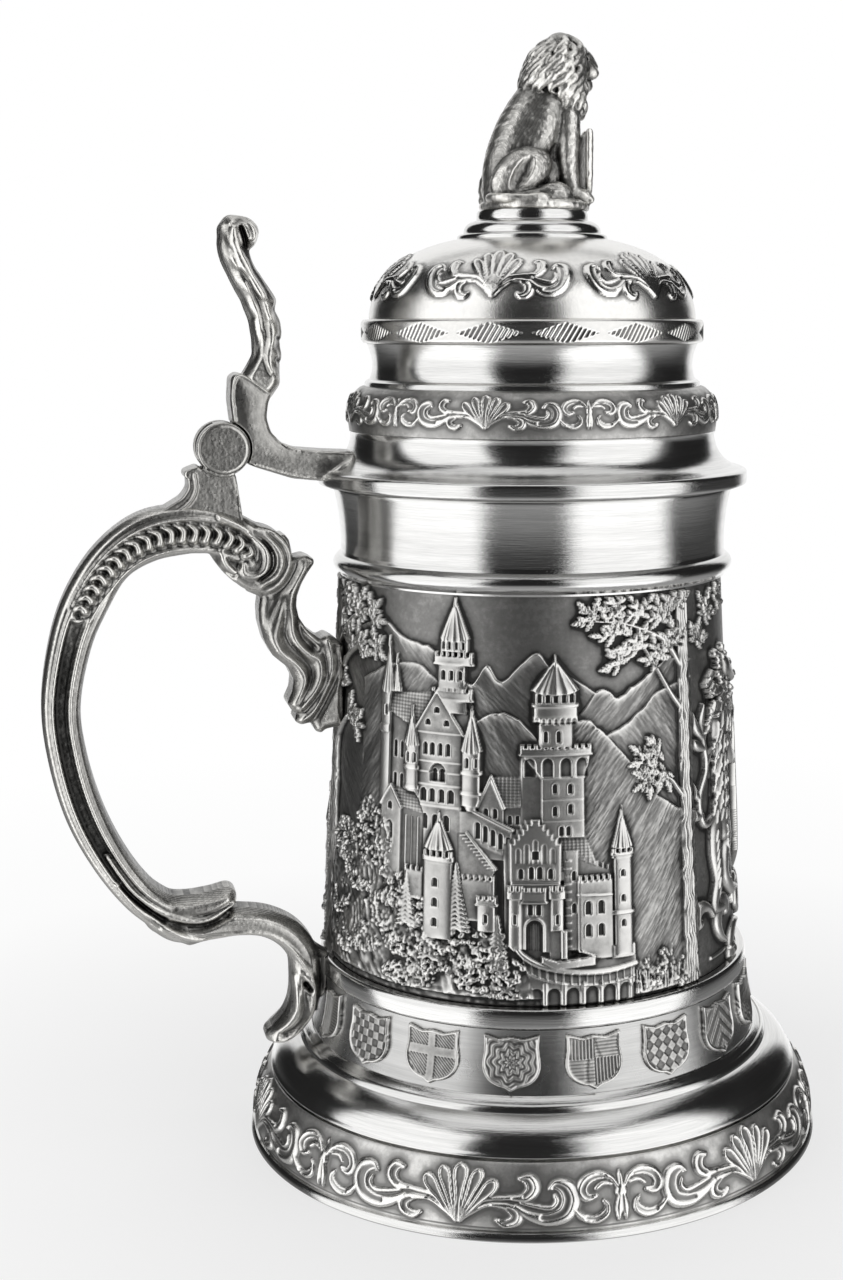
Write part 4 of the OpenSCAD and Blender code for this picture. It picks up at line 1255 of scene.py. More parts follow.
def shield_lion(art, side, s, z, level):
    """A lion on its hind legs that holds the shield, with a full mane and a curled tail."""

    def limb(points, lift=0.9):
        """A rounded part through places of (across, up, half width), drawn for the right-hand lion."""
        art.stroke([(s + side * x, z + y, w) for x, y, w in points], lift, base=level)

    def ruffle(places, lift, size, slant):
        """Short locks laid over a part that is already there."""
        for x, y in places:
            ends = [(x, y, 0.5 * size), (x + slant[0] * size, y + slant[1] * size, 0.42 * size),
                    (x + 1.7 * slant[0] * size, y + 1.9 * slant[1] * size, 0.12)]
            art.stroke([(s + side * a, z + b, w) for a, b, w in ends], lift)

    limb([(4.6, 3, 2.4), (6.0, 9, 3.4), (5.6, 17, 3.9), (4.6, 25, 4.9), (2.8, 33, 4.6)], 1.5)
    limb([(5.6, 9, 3.6), (3.2, 2, 2.5), (5.6, -4.4, 1.8), (3.0, -9.4, 1.5), (-0.6, -10.6, 1.3)], 1.4)
    limb([(7.2, 9, 3.2), (9.6, 1, 2.4), (8.8, -6, 1.8), (10.8, -11.4, 1.5), (7.4, -12.6, 1.2)], 1.1)
    limb([(2.0, 27, 2.6), (-3.2, 24.4, 2.0), (-6.6, 26.6, 1.6), (-8.6, 26.0, 1.3)], 1.5)
    limb([(2.0, 23, 2.4), (-2.8, 17.6, 1.9), (-6.8, 16.6, 1.5), (-8.6, 15.2, 1.2)], 1.3)
    limb([(8.0, 8, 1.1), (13.6, 6.4, 0.9), (15.6, 12, 0.8), (12.4, 18, 0.8), (13.6, 24.6, 0.9)], 0.8)
    for x, y, a, b in ((15.6, 12, 18.6, 16.6), (12.6, 18, 9.8, 21.4), (13.2, 22, 17.2, 24.2),
                       (13.6, 24, 13.0, 31.0), (13.6, 24, 17.4, 30.0), (13.4, 24, 9.8, 28.4),
                       (14.6, 8.4, 18.0, 9.0)):
        limb([(x, y, 0.8), (0.5 * (x + a) + 0.5, 0.5 * (y + b), 1.2), (a, b, 0.3)], 0.75)
    ruffle([(3.0 + 1.9 * (k % 4) + 0.6 * (k // 4 % 2), 8.0 + 1.9 * (k // 4)) for k in range(36)], 0.26, 1.1,
           (0.5, -1.1))
    ruffle([(3.4 + 0.3 * k, -7.6 + 2.0 * k) for k in range(7)], 0.24, 0.9, (-0.5, -1.2))
    ruffle([(8.6 + 0.1 * k, -8.0 + 2.0 * k) for k in range(7)], 0.24, 0.9, (0.6, -1.2))
    rng = np.random.default_rng(5)
    for row in range(9):
        for k in range(8):
            way = math.radians(-170 + 40 * k + rng.uniform(-9, 9))
            far = 7.6 - 0.8 * row
            x, y = 3.6 + far * math.cos(way), 31 + 1.35 * far * math.sin(way)
            limb([(x, y, 1.0), (x + 1.5 * math.cos(way - 0.5), y + 1.5 * math.sin(way - 0.5) - 0.9, 0.8),
                  (x + 2.6 * math.cos(way), y + 2.4 * math.sin(way) - 1.9, 0.25)], 1.2 + 0.1 * row)
    limb([(1.6, 37.0, 3.0), (-1.4, 35.4, 2.0), (-3.2, 34.2, 1.4)], 2.1)
    limb([(-3.2, 35.2, 0.8), (-4.4, 34.4, 0.7)], 2.3)
    limb([(-1.0, 32.4, 1.0), (-2.8, 31.8, 0.9)], 2.0)
    art.tuft(s + side * -0.4, z + 37.6, 0.5, level + 1.9)
    art.rib([(s - side * 1.6, z + 36.6, 0.35), (s - side * 0.6, z + 36.9, 0.3)], -0.5)


def crown(art, s, z, wide, level):
    """A plain open crown with five leaf-shaped points."""
    art.stroke([(s - wide, z, 0.9), (s, z - 0.7, 0.9), (s + wide, z, 0.9)], 0.8, base=level)
    for k in range(5):
        x = s + wide * (k - 2) / 2.1
        high = z + 6.6 - 0.5 * abs(k - 2)
        art.rib([(x, z, 0.8), (x * 1.04 - 0.04 * s, high, 1.1)], 0.7, base=level)
        for dx, dz in ((-1.0, 0), (1.0, 0), (0, 1.1)):
            art.tuft(x * 1.04 - 0.04 * s + dx, high + 0.6 + dz, 0.85, level + 0.8)
    for k in range(9):
        art.tuft(s + wide * (k - 4) / 4.4, z - 0.1 - 0.5 * math.cos(math.pi * (k - 4) / 8), 0.5,
                 level + 1.25)


def arms_scene(art):
    """The front panel: a plain lozenged shield under a crown, held by two lions."""
    art.h += 0.012 * grain(art.x, art.z, 0.55, 301)
    for side in (-1, 1):
        leaves(art, [(side * 36, 116, 3.6), (side * 29, 117.5, 2.6), (side * 40, 111, 2.6)], 2.4, 0.5, 303,
               (side * 46, 104))
        for at, low, turn, size, hand in ((10, 45, 20, 12, 1), (20, 47, 10, 12, -1), (30, 45, 25, 12, 1),
                                          (37, 51, 70, 9, -1), (15, 50, 60, 8, -1), (26, 51, 70, 8, 1)):
            way = math.radians(turn if side > 0 else 180 - turn)
            curl(art, side * at, low, way, size, 0.9, 0.35, hand * side)
        shield_lion(art, side, side * 26, 66, 0.35)
    shield = [(-17, 89), (-16.4, 70), (-13, 60), (-6, 53.6), (0, 51.2), (6, 53.6), (13, 60), (16.4, 70),
              (17, 89), (9, 87.2), (0, 90.4), (-9, 87.2)]
    art.plate(shield, barrelled(0, 18, 1.0, 0.5))

    def lozenges(x, z):
        """A field of lozenges, every other one hatched."""
        u, v = (x + 0.55 * z) / 4.4, (x - 0.55 * z) / 4.4
        other = (np.floor(u) + np.floor(v)) % 2
        return 1.35 + 0.16 * other + 0.05 * np.cos(2 * math.pi * z / 0.8) * (1 - other)

    art.plate([(s * 0.88, (z - 71) * 0.9 + 71) for s, z in shield], lozenges, 0.1)
    art.rib([(s, z, 0.55) for s, z in shield + shield[:1]], 0.5, base=1.2)
    crown(art, 0, 94, 11.0, 0.9)
    art.rib([(-38, 43.6, 0.5), (38, 43.6, 0.5)], 0.4)


def barrel_skin():
    """The three scenes laid side by side round the cup."""
    slant = np.array([[BARREL_LOW_R, FLOOR], [BARREL_TOP_R, BARREL_TOP]])
    sunk = 0.9
    base = BARREL_LOW_R - (BELT_TOP - FLOOR) * (BARREL_LOW_R - BARREL_TOP_R) / (BARREL_TOP - FLOOR)
    slant[0] = base - sunk, BELT_TOP
    slant[1, 0] -= sunk
    line, out, _ = resampled(slant, PANEL_STEP)
    lean = math.radians(CAMERA_TURN)
    things = []
    for name, scene, left, right, shift in (("castle_panel", castle_scene, -75.0, 50.0, -15.0),
                                            ("arms_panel", arms_scene, 50.0, 165.0, 107.5),
                                            ("lake_panel", lake_scene, 165.0, 285.0, 225.0)):
        count = int(math.radians(right - left) * PANEL_R / PANEL_STEP)
        turn = np.radians(np.linspace(left, right, count + 1))
        x = (turn - math.radians(shift)) * PANEL_R
        art = Relief(*np.meshgrid(x, line[:, 1]), PANEL_STEP)
        scene(art)
        art.h = np.clip(art.h, -0.2, 2.6)
        rim = np.clip(np.minimum(line[:, 1] - BELT_TOP, BARREL_TOP - line[:, 1]) / 0.6, 0, 1)[:, None]
        wear = np.clip(art.worn(1.4, 0.7, 0.46) + 0.09 * np.clip(art.h - 0.7, -0.4, 1), 0, 1)
        things += wrapped(name, line, out, lean + turn, art.h * rim, wear, 3, skirt=0.6)
    return things


# ---------------------------------------------------------------- shields


def shield_outline(grow=0.0):
    """A dipped top with pointed corners and a pointed foot, 11.2 wide and 10.9 tall, from its middle."""
    half = bow((5.3, 5.1), (5.0, 2.4), (5.4, 0.6), 6).tolist()
    half += bow((5.5, -0.4), (5.4, -3.6), (2.2, -4.6), 7).tolist()
    right = [(2.4, 4.3), (4.4, 4.9)] + half + [(1.2, -4.8), (0, -5.5)]
    outline = [(0, 4.7)] + right + [(-x, z) for x, z in right[-2::-1]]
    return [(x * (1 + grow / 5.4), z * (1 + grow / 5.4)) for x, z in outline]


def engraving(kind, x, z):
    """How deep a field is cut, from 0 to 1, for one of the generic patterns."""

    def wave(path, size):
        """Even lines along a path."""
        return 0.5 + 0.5 * np.cos(2 * math.pi * path / size)

    check = (np.floor(x / 1.5) + np.floor(z / 1.5)) % 2
    slant = (np.floor((x + z) / 2.2) + np.floor((x - z) / 2.2)) % 2
    cross = (np.abs(x) < 0.9) | (np.abs(z - 0.8) < 0.9)
    quarter = (x > 0) ^ (z > 0.4)
    chevron = np.floor((z + np.abs(x)) / 1.5) % 2
    leaf_line = np.clip(1 - np.abs(np.abs(x) - 0.32 * (4.4 - z) * (1 - 0.1 * np.abs(z))) / 0.5, 0, 1)
    wreath = wave(np.hypot(x * 1.1, z) + 0.35 * np.cos(9 * np.arctan2(z, x)), 1.35)
    patterns = [
        wave(x, 0.62) * (np.abs(x) < 2.4) * 0.9 + wave(z, 0.62) * (np.abs(x) >= 2.4) * 0.5,
        1 - check,
        np.where(cross, 0.0, wave(x + z, 0.7)),
        wreath,
        np.where(quarter, wave(x, 0.7), wave(z, 0.7) * 0.5 + 0.3 * leaf_line),
        slant * 0.9 + 0.1 * wave(z, 0.6),
        chevron * wave(x, 0.55),
        np.where(z > 0.9, wave(z, 0.6), 1 - wreath * 0.9),
        np.where(np.abs(z) < 1.2, 0.1, wave(x - z, 0.7)),
    ]
    return patterns[kind % len(patterns)]


def shield_relief(kind, x, z):
    """One raised shield with a rim round an engraved field."""
    art = Relief(x, z, SHIELD_STEP)
    art.h -= 0.5
    art.plate(shield_outline(0.32), 0.55)
    cut = engraving(kind, x, z)
    deep = inside_of(x, z, shield_outline(-0.4))
    art.h -= 0.24 * np.clip(deep * 5 + 0.5, 0, 1) * cut
    art.rib([(a, b, 0.28) for a, b in shield_outline(0.05)] + [(0, 4.75, 0.28)], 0.2)
    return art


def shields():
    """The ring of shields, each with another pattern; one is left out behind the handle's foot."""
    things = []
    reach = 6.4
    line, out, along = resampled(bow((48.35, 24.3), (46.45, 30), (46.15, 36.4), 30), SHIELD_STEP)
    for k in range(SHIELDS):
        middle = (k + 0.5) * 360 / SHIELDS
        turn = np.arange(-reach, reach, SHIELD_STEP) / SHIELD_R
        x, z = np.meshgrid(turn * SHIELD_R, along - along[-1] / 2)
        art = shield_relief(k, x, z)
        wear = art.worn(0.8, 0.8, 0.48)
        angle = math.radians(middle) + turn
        keep = inside_of(x, z, shield_outline(0.66)) > 0
        r = line[:, :1] + out[:, :1] * art.h
        height = line[:, 1:] + out[:, 1:] * art.h
        points = np.stack([r * np.cos(angle), r * np.sin(angle), height + 0 * r], -1).reshape(-1, 3)
        behind = (points[:, 0].reshape(r.shape) < 0) & (np.abs(points[:, 1].reshape(r.shape)) < 6.0)
        keep &= ~behind
        faces = grid_faces(*r.shape)
        faces = faces[keep.ravel()[faces].all(1)]
        used, faces = np.unique(faces, return_inverse=True)
        things.append(make_mesh(f"shield_{k + 1}", points[used], faces.reshape(-1, 4), wear.ravel()[used]))
    return things


# ---------------------------------------------------------------- castings


def surface_net(field, origin, step):
    """A smooth skin of quads where the field changes sign; it is negative inside."""
    inside = field < 0
    corners = [(i, j, k) for i in (0, 1) for j in (0, 1) for k in (0, 1)]
    size = np.array(field.shape) - 1
    mixed = np.zeros(size, bool)
    first = inside[:-1, :-1, :-1]
    for i, j, k in corners[1:]:
        mixed |= inside[i : i + size[0], j : j + size[1], k : k + size[2]] != first
    place = np.argwhere(mixed)
    number = np.full(size, -1, np.int32)
    number[mixed] = np.arange(len(place))
    total, count = np.zeros((len(place), 3)), np.zeros((len(place), 1))
    faces = []
    for axis in range(3):
        ahead = np.eye(3, dtype=int)[axis]
        across, up = np.eye(3, dtype=int)[(axis + 1) % 3], np.eye(3, dtype=int)[(axis + 2) % 3]
        for low in (0 * ahead, across, up, across + up):
            a, b = place + low, place + low + ahead
            f, g = field[tuple(a.T)], field[tuple(b.T)]
            cross = ((f < 0) != (g < 0))[:, None]
            share = (f / np.where(f == g, 1, f - g))[:, None]
            total += np.where(cross, a + share * ahead, 0)
            count += cross
        shape = np.array(field.shape) - ahead
        near = inside[tuple(slice(0, n) for n in shape)]
        far = inside[tuple(slice(k, k + n) for k, n in zip(ahead, shape))]
        edge = np.argwhere(near != far)
        others = [(axis + 1) % 3, (axis + 2) % 3]
        fits = np.all((edge[:, others] > 0) & (edge[:, others] < size[others]), 1)
        edge = edge[fits]
        quad = [edge, edge - across, edge - across - up, edge - up]
        quad = np.stack([number[tuple(q.T)] for q in quad], -1)
        turn = ~inside[tuple(edge.T)]
        quad[turn] = quad[turn, ::-1]
        faces.append(quad)
    return np.array(origin) + total / count * step, np.vstack(faces), place


def rounded_both(a, b, edge):
    """The overlap of two shapes, with a rounded edge where they meet."""
    a, b = a + edge, b + edge
    return np.hypot(np.maximum(a, 0), np.maximum(b, 0)) + np.minimum(np.maximum(a, b), 0) - edge


def side_on(points):
    """Points drawn from the side as distance from the axis and height, as places across and up."""
    return [(-p[0], *p[1:]) for p in points]


class Casting:
    """A casting that is drawn from its side: an outline, and how far its face stands out."""

    def __init__(self, near, far, low, high, half, step):
        """An empty outline, and a flat face that far out from the middle."""
        x, z = np.meshgrid(np.arange(-far, -near, step), np.arange(low, high, step))
        self.face = Relief(x, z, step)
        self.face.h += half
        self.shape = np.full(x.shape, 9.0)
        self.step = step

    def bar(self, points, smooth=True):
        """Adds a bar of (distance, height, half width) to the outline."""
        line = np.array(side_on(points), float)
        line = flow(line) if smooth and len(line) > 2 else line
        place = self.face.near(line, line[:, 2].max() + 4)
        x, z = self.face.x[place], self.face.z[place]
        best = np.full(x.shape, 9.0)
        for a, b in zip(line[:-1], line[1:]):
            d = b[:2] - a[:2]
            t = np.clip(((x - a[0]) * d[0] + (z - a[1]) * d[1]) / max(d @ d, 1e-9), 0, 1)
            best = np.minimum(best, np.hypot(x - a[0] - t * d[0], z - a[1] - t * d[1]) - a[2] - t
                              * (b[2] - a[2]))
        self.shape[place] = np.minimum(self.shape[place], best)

    def slab(self, outline):
        """Adds the inside of a closed line to the outline."""
        self.shape = np.minimum(self.shape, -inside_of(self.face.x, self.face.z, side_on(outline)))

    def soften(self, reach):
        """Rounds the corners of the outline and, half as much, of the face."""
        self.shape = blurred(self.shape, reach / self.step, 2)
        self.face.h = blurred(self.face.h, 0.5 * reach / self.step, 1)

    def skin(self, name, edge=1.2, carve=None, wear=1.2, rough=0.0, warp=None, split=None, painted_shade=None):
        """The casting as a mesh, or as two that meet at the height split.

        carve(x, y, z) gives space to leave out, as distance, positive inside it.
        """
        face = self.face
        if rough:
            face.h += rough * grain(face.x, face.z, 1.1, 11) + 0.7 * rough * grain(face.x, face.z, 0.5, 12)
        reach = float(face.h[self.shape < 0.5].max()) + 3 * self.step
        y = np.arange(-reach, reach + self.step, self.step)
        away = np.abs(y)[None, None, :]
        field = rounded_both(self.shape[:, :, None], away - face.h[:, :, None], edge)
        x, yy, z = face.x[0][None, :, None], y[None, None, :], face.z[:, 0][:, None, None]
        if warp:
            field = warp(field, x, yy, z)
        if carve:
            field = np.maximum(field, carve(x, yy, z))
        field = field.astype(np.float32).transpose(1, 2, 0)
        points, faces, place = surface_net(field, (face.x[0, 0], y[0], face.z[0, 0]), self.step)
        hollow = blurred(np.clip(field, -2, 2), 0.9 / self.step, 2)
        hollow = np.clip(0.5 + wear * 0.45 * (hollow[tuple(place.T)] - 0.12), 0, 1)
        # painted shade: this function darkens the wear colour, as on the grip's hollow and flank below the
        # beads
        if painted_shade:
            hollow = np.clip(hollow - painted_shade(points), 0, 1)
        if split is None:
            return make_mesh(name, points, faces, hollow)
        above = points[faces, 2].mean(1) > split
        halves = []
        for label, keep in (("upper", above), ("lower", ~above)):
            used, part = np.unique(faces[keep], return_inverse=True)
            halves.append(make_mesh(f"{name}_{label}", points[used], part.reshape(-1, 4), hollow[used]))
        return halves


GRIP = [(60.4, 129.2, 4.6), (65.5, 131.4, 4.7), (72, 132.5, 5), (80.2, 131, 5), (87.3, 126.3, 4.4),
        (92.4, 118.6, 4.5), (95.9, 110, 4.15), (98.2, 97.8, 3.85), (97.3, 86.5, 3.85), (94.4, 75, 3.9),
        (89.8, 65, 3.7), (84.5, 57.3, 3.6), (79, 52.6, 3.9)]
TAIL = [(79.6, 52.4, 3.9), (76, 50, 3.8), (70, 49.8, 3.4), (64.4, 49.8, 3.1), (58.6, 48.9, 3.0),
        (53.9, 46.2, 3.1), (51, 42, 3.1), (50.4, 37, 3.1), (50.8, 31.6, 3.1), (52.6, 27.6, 2.8),
        (55.4, 24.9, 2.4), (57.6, 24.2, 1.6)]
CHANNEL = [(93.8, 116.6, 1.8), (91.9, 119.7, 2.0), (89.7, 122.8, 2.2), (86.5, 126.3, 2.3),
           (82.5, 129.2, 2.4), (77.8, 131.0, 2.5), (73.1, 131.6, 2.6), (67.9, 131.2, 2.6),
           (64.4, 130.2, 2.5), (61.6, 128.6, 2.2), (60.0, 126.9, 1.6)]


def gadroons(face):
    """Comma-shaped beads in a hollow that follows the grip up to the volute."""
    face.plate(outline_of(side_on(CHANNEL[:-1]), 0.75), 5.6)
    face.stroke(side_on([(95.4, 115.4, 0.3), (93.4, 114.3, 0.35), (91.7, 115.2, 0.3)]), 0.3)
    face.plate(outline_of(side_on(CHANNEL), 0.0), 4.9)
    line = flow(side_on(CHANNEL), 12)
    run = np.r_[0, np.cumsum(np.hypot(*np.diff(line[:, :2], axis=0).T))]
    for at in np.linspace(0.8, run[-1] - 0.6, 18):
        x, z, half = (np.interp(at, run, line[:, k]) for k in range(3))
        before = [np.interp(max(at - 2.3, -1), run, line[:, k]) for k in range(2)]
        d = np.array([x - before[0], z - before[1]])
        d = d / np.hypot(*d) if np.hypot(*d) > 0 else np.array([0.3, 0.95])
        n = np.array([-d[1], d[0]])
        head, tail = np.array([x, z]) - n * half * 0.4, np.array([x, z]) + n * half * 0.78 - d * 1.2
        middle = np.array([x, z]) + n * half * 0.3 + d * 0.3
        face.stroke([(*tail, 0.4), (*middle, 0.9), (*head, 1.08), (*(head - d * 0.3), 0.95)], 1.3, base=4.6)
        face.stroke([(*(0.5 * (tail + middle)), 0.3), (*middle, 0.5), (*(head - d * 0.1), 0.55)], 0.45)


def handle_outline():
    """The grip, the volute, the tail and the curled leaf as they show from the side."""
    c = Casting(44.5, 103.5, 20.5, 141, 5.75, 0.27)
    c.bar(GRIP[2:])
    c.bar([(72, 132.5, 5), (65.5, 131.6, 4.6), (60.4, 128.6, 4.9), (58.2, 126.4, 5.2)])
    c.bar([(58.4, 126.2, 6.6), (58.2, 126.0, 6.6)], smooth=False)
    c.bar([(65.5, 129, 3), (64.6, 125.4, 1.8), (62.6, 122.8, 1.4)])
    c.bar([(63.8, 127.4, 2.4), (62.2, 124.6, 1.6)], smooth=False)
    c.bar([(84, 58.8, 1.6), (79.5, 55.2, 2.0), (75, 53.9, 2.5), (70, 54.3, 2.5), (66.4, 55.6, 2.0)])
    c.bar([(79, 52.6, 3.9), (76, 50, 3.8)], smooth=False)
    c.bar(TAIL)
    c.slab([(84.6, 52.9), (79.8, 48.5), (74.4, 45.2), (70.5, 46.2), (68, 50), (80, 55)])
    c.slab([(50.5, 45.6), (47.4, 42.4), (46.2, 41.6), (45.4, 41), (45.2, 32.6), (47.8, 31), (50, 34)])
    c.soften(0.35)
    return c


def handle_swells(c):
    """Rounds the tail and cuts a channel into the grip. Gives the channel's floor back."""
    face = c.face
    down, on_tail = across_line(face.x, face.z, flow(side_on(TAIL)))
    slope = np.interp(np.abs(down), [0, 1.6, 2.9, 3.9], [5.4, 5.2, 4.3, 3.0])
    on_tail &= (face.z < 52.2) | (face.x > -64.6)
    joined = np.clip((face.x + 79.5) / 5, 0, 1)
    face.h = np.where(on_tail, slope * joined + face.h * (1 - joined), face.h)
    face.h = np.where(face.z < 60, np.minimum(face.h, 3.2 + 1.5 * np.clip(-c.shape, 0, 3)), face.h)
    across, on_grip = across_line(face.x, face.z, flow(side_on(GRIP)))
    far = np.abs(across)
    swell = np.interp(far, [0, 1.15, 1.5, 1.9, 2.4, 3.0, 3.5, 4.2],
                      [4.75, 4.75, 5.75, 5.7, 5.1, 5.3, 4.5, 3.4])
    share = np.where(face.z > 60, 1, np.clip((-face.x - 75.5) / 8, 0, 1))
    face.h = np.where(on_grip, swell * share + face.h * (1 - share), face.h)
    face.h = np.where((face.x > -66.5) & (face.z > 100), np.maximum(face.h, 4.9), face.h)
    return on_grip & (far < 1.1)


def handle_leaves(face):
    """The raised edges and the grooves of the volute and of the tail."""
    for points, lift, base in (
            ([(66, 134.9, 0.5), (61.5, 132.6, 0.6), (58.4, 130, 0.7), (56.9, 127.4, 0.75),
              (57.2, 124.2, 0.75), (59, 122.8, 0.75), (61.3, 123.3, 0.7), (61.6, 125.2, 0.5)], 0.9, 5.4),
            ([(60.4, 133.2, 0.4), (57.4, 131, 0.6), (54.7, 128.2, 0.7), (53.9, 125.3, 0.75),
              (54.8, 123, 0.7), (57.1, 121.6, 0.7), (60.2, 121.8, 0.6), (62.4, 122.6, 0.4)], 0.8, 5.0),
            ([(65.8, 128.2, 0.6), (65, 125.4, 0.6), (63.3, 123.6, 0.5)], 0.6, 5.2),
            ([(60.3, 125.6, 1.0), (60.1, 125.3, 1.0)], 0.9, 5.0),
            ([(90.4, 66.6, 0.45), (87.7, 62.0, 0.5), (85, 58.2, 0.55), (80.6, 54.5, 0.65),
              (76.1, 52.3, 0.75), (72, 51.7, 0.8), (67.9, 53, 0.7), (64.8, 54.9, 0.4)], 1.2, 4.9)):
        face.stroke(side_on(points), lift, base=base)
    for points, lift in (
            ([(88.6, 60.8, 0.4), (86.7, 58.0, 0.45), (82.3, 53.5, 0.5), (76.7, 49.0, 0.5), (72.2, 46.9, 0.5),
              (68.1, 47.3, 0.5), (63.7, 47.9, 0.5), (59.3, 47.3, 0.5), (55.5, 45.3, 0.5), (52.4, 42, 0.5),
              (50, 38.3, 0.5), (48.9, 34.7, 0.6), (49.1, 29, 0.7), (51, 25.4, 0.7), (54.6, 23.6, 0.7),
              (57.6, 23.7, 0.6)], 0.7),
            ([(53.2, 37.3, 0.4), (52.7, 33.5, 0.5), (52.8, 30.1, 0.5), (54.6, 27.4, 0.5),
              (57.4, 25.6, 0.5)], 0.7),
            ([(51.9, 38.4, 0.4), (50.0, 36.4, 0.3), (50.2, 34.4, 0.3)], 0.5)):
        face.stroke(side_on(points), lift)
    for points, depth in (
            ([(60, 131.6, 0.3), (57, 129.4, 0.4), (55.4, 126.6, 0.45), (55.9, 123.8, 0.4),
              (58.4, 121.9, 0.35)], 1.0),
            ([(56.4, 131.4, 0.3), (53.5, 128.2, 0.4), (52.9, 125, 0.4), (54.3, 122, 0.4),
              (57.4, 120.3, 0.3)], 0.9),
            ([(88, 60, 0.4), (85.1, 56.6, 0.7), (81.2, 52.8, 0.9), (76.7, 50.5, 1.0), (72.6, 49.9, 0.9),
              (69.5, 50.5, 0.7), (66.2, 51.9, 0.5)], 1.0),
            ([(51.4, 37.8, 0.4), (50.9, 33.4, 0.8), (51, 29.2, 1.0), (53, 26.4, 0.9), (56, 25, 0.5)], 0.5),
            ([(50.6, 35.7, 0.5), (49.7, 34.1, 0.5)], 1.6)):
        face.stroke(side_on(points), -depth)


def handle_casting():
    """The handle: the grip with its beaded channel and volute, and the scroll down to the curled leaf."""
    c = handle_outline()
    face = c.face
    channel = handle_swells(c)
    gadroons(face)
    handle_leaves(face)
    face.h = blurred(face.h, 0.2 / c.step, 1)
    face.h += np.where(channel, 0.05 * grain(face.x, face.z, 0.5, 31), 0)

    def painted_shade(points):
        """Painted shade: the hollow of the grip and its outer flank are painted dark below the beads."""
        x, z = points[:, 0], points[:, 2]
        off, on_it = across_line(x, z, flow(side_on(GRIP)))
        low_part = np.clip((116 - z) / 8, 0, 1) * np.clip((z - 60) / 8, 0, 1) * on_it
        return low_part * (0.3 * (np.abs(off) < 1.3) + 0.17 * (np.abs(off) > 1.85))

    # painted shade on the grip's hollow and outer flank, below the beads
    return c.skin("handle_skin", 1.5, wear=1.9, carve=lambda x, y, z: cup_radius(z) - np.hypot(x, y),
                  split=78.0, painted_shade=painted_shade)


def across_line(x, z, line):
    """How far across a line of (across, up, half width) each place lies, and whether it lies near it."""
    across = np.full(x.shape, 99.0)
    for a, b in zip(line[:-1], line[1:]):
        d = b[:2] - a[:2]
        t = ((x - a[0]) * d[0] + (z - a[1]) * d[1]) / max(d @ d, 1e-9)
        away = ((z - a[1]) * d[0] - (x - a[0]) * d[1]) / math.hypot(*d)
        value = away * 3.85 / (a[2] + (b[2] - a[2]) * np.clip(t, 0, 1))
        better = (t > -0.2) & (t < 1.2) & (np.abs(value) < np.abs(across))
        across = np.where(better, value, across)
    return across, np.abs(across) < 6


def outline_of(line, grow):
    """The closed outline of a bar with rounded ends."""
    p = flow(line)
    d = np.gradient(p[:, :2], axis=0)
    d /= np.hypot(d[:, 0], d[:, 1])[:, None]
    n = np.stack([-d[:, 1], d[:, 0]], -1)
    half = (p[:, 2] + grow)[:, None]
    left, right = p[:, :2] + n * half, p[:, :2] - n * half
    cap = p[:1, :2] - d[:1] * half[:1] * 0.9
    end = p[-1:, :2] + d[-1:] * half[-1:] * 0.9
    return np.vstack([cap, left, end, right[::-1]])


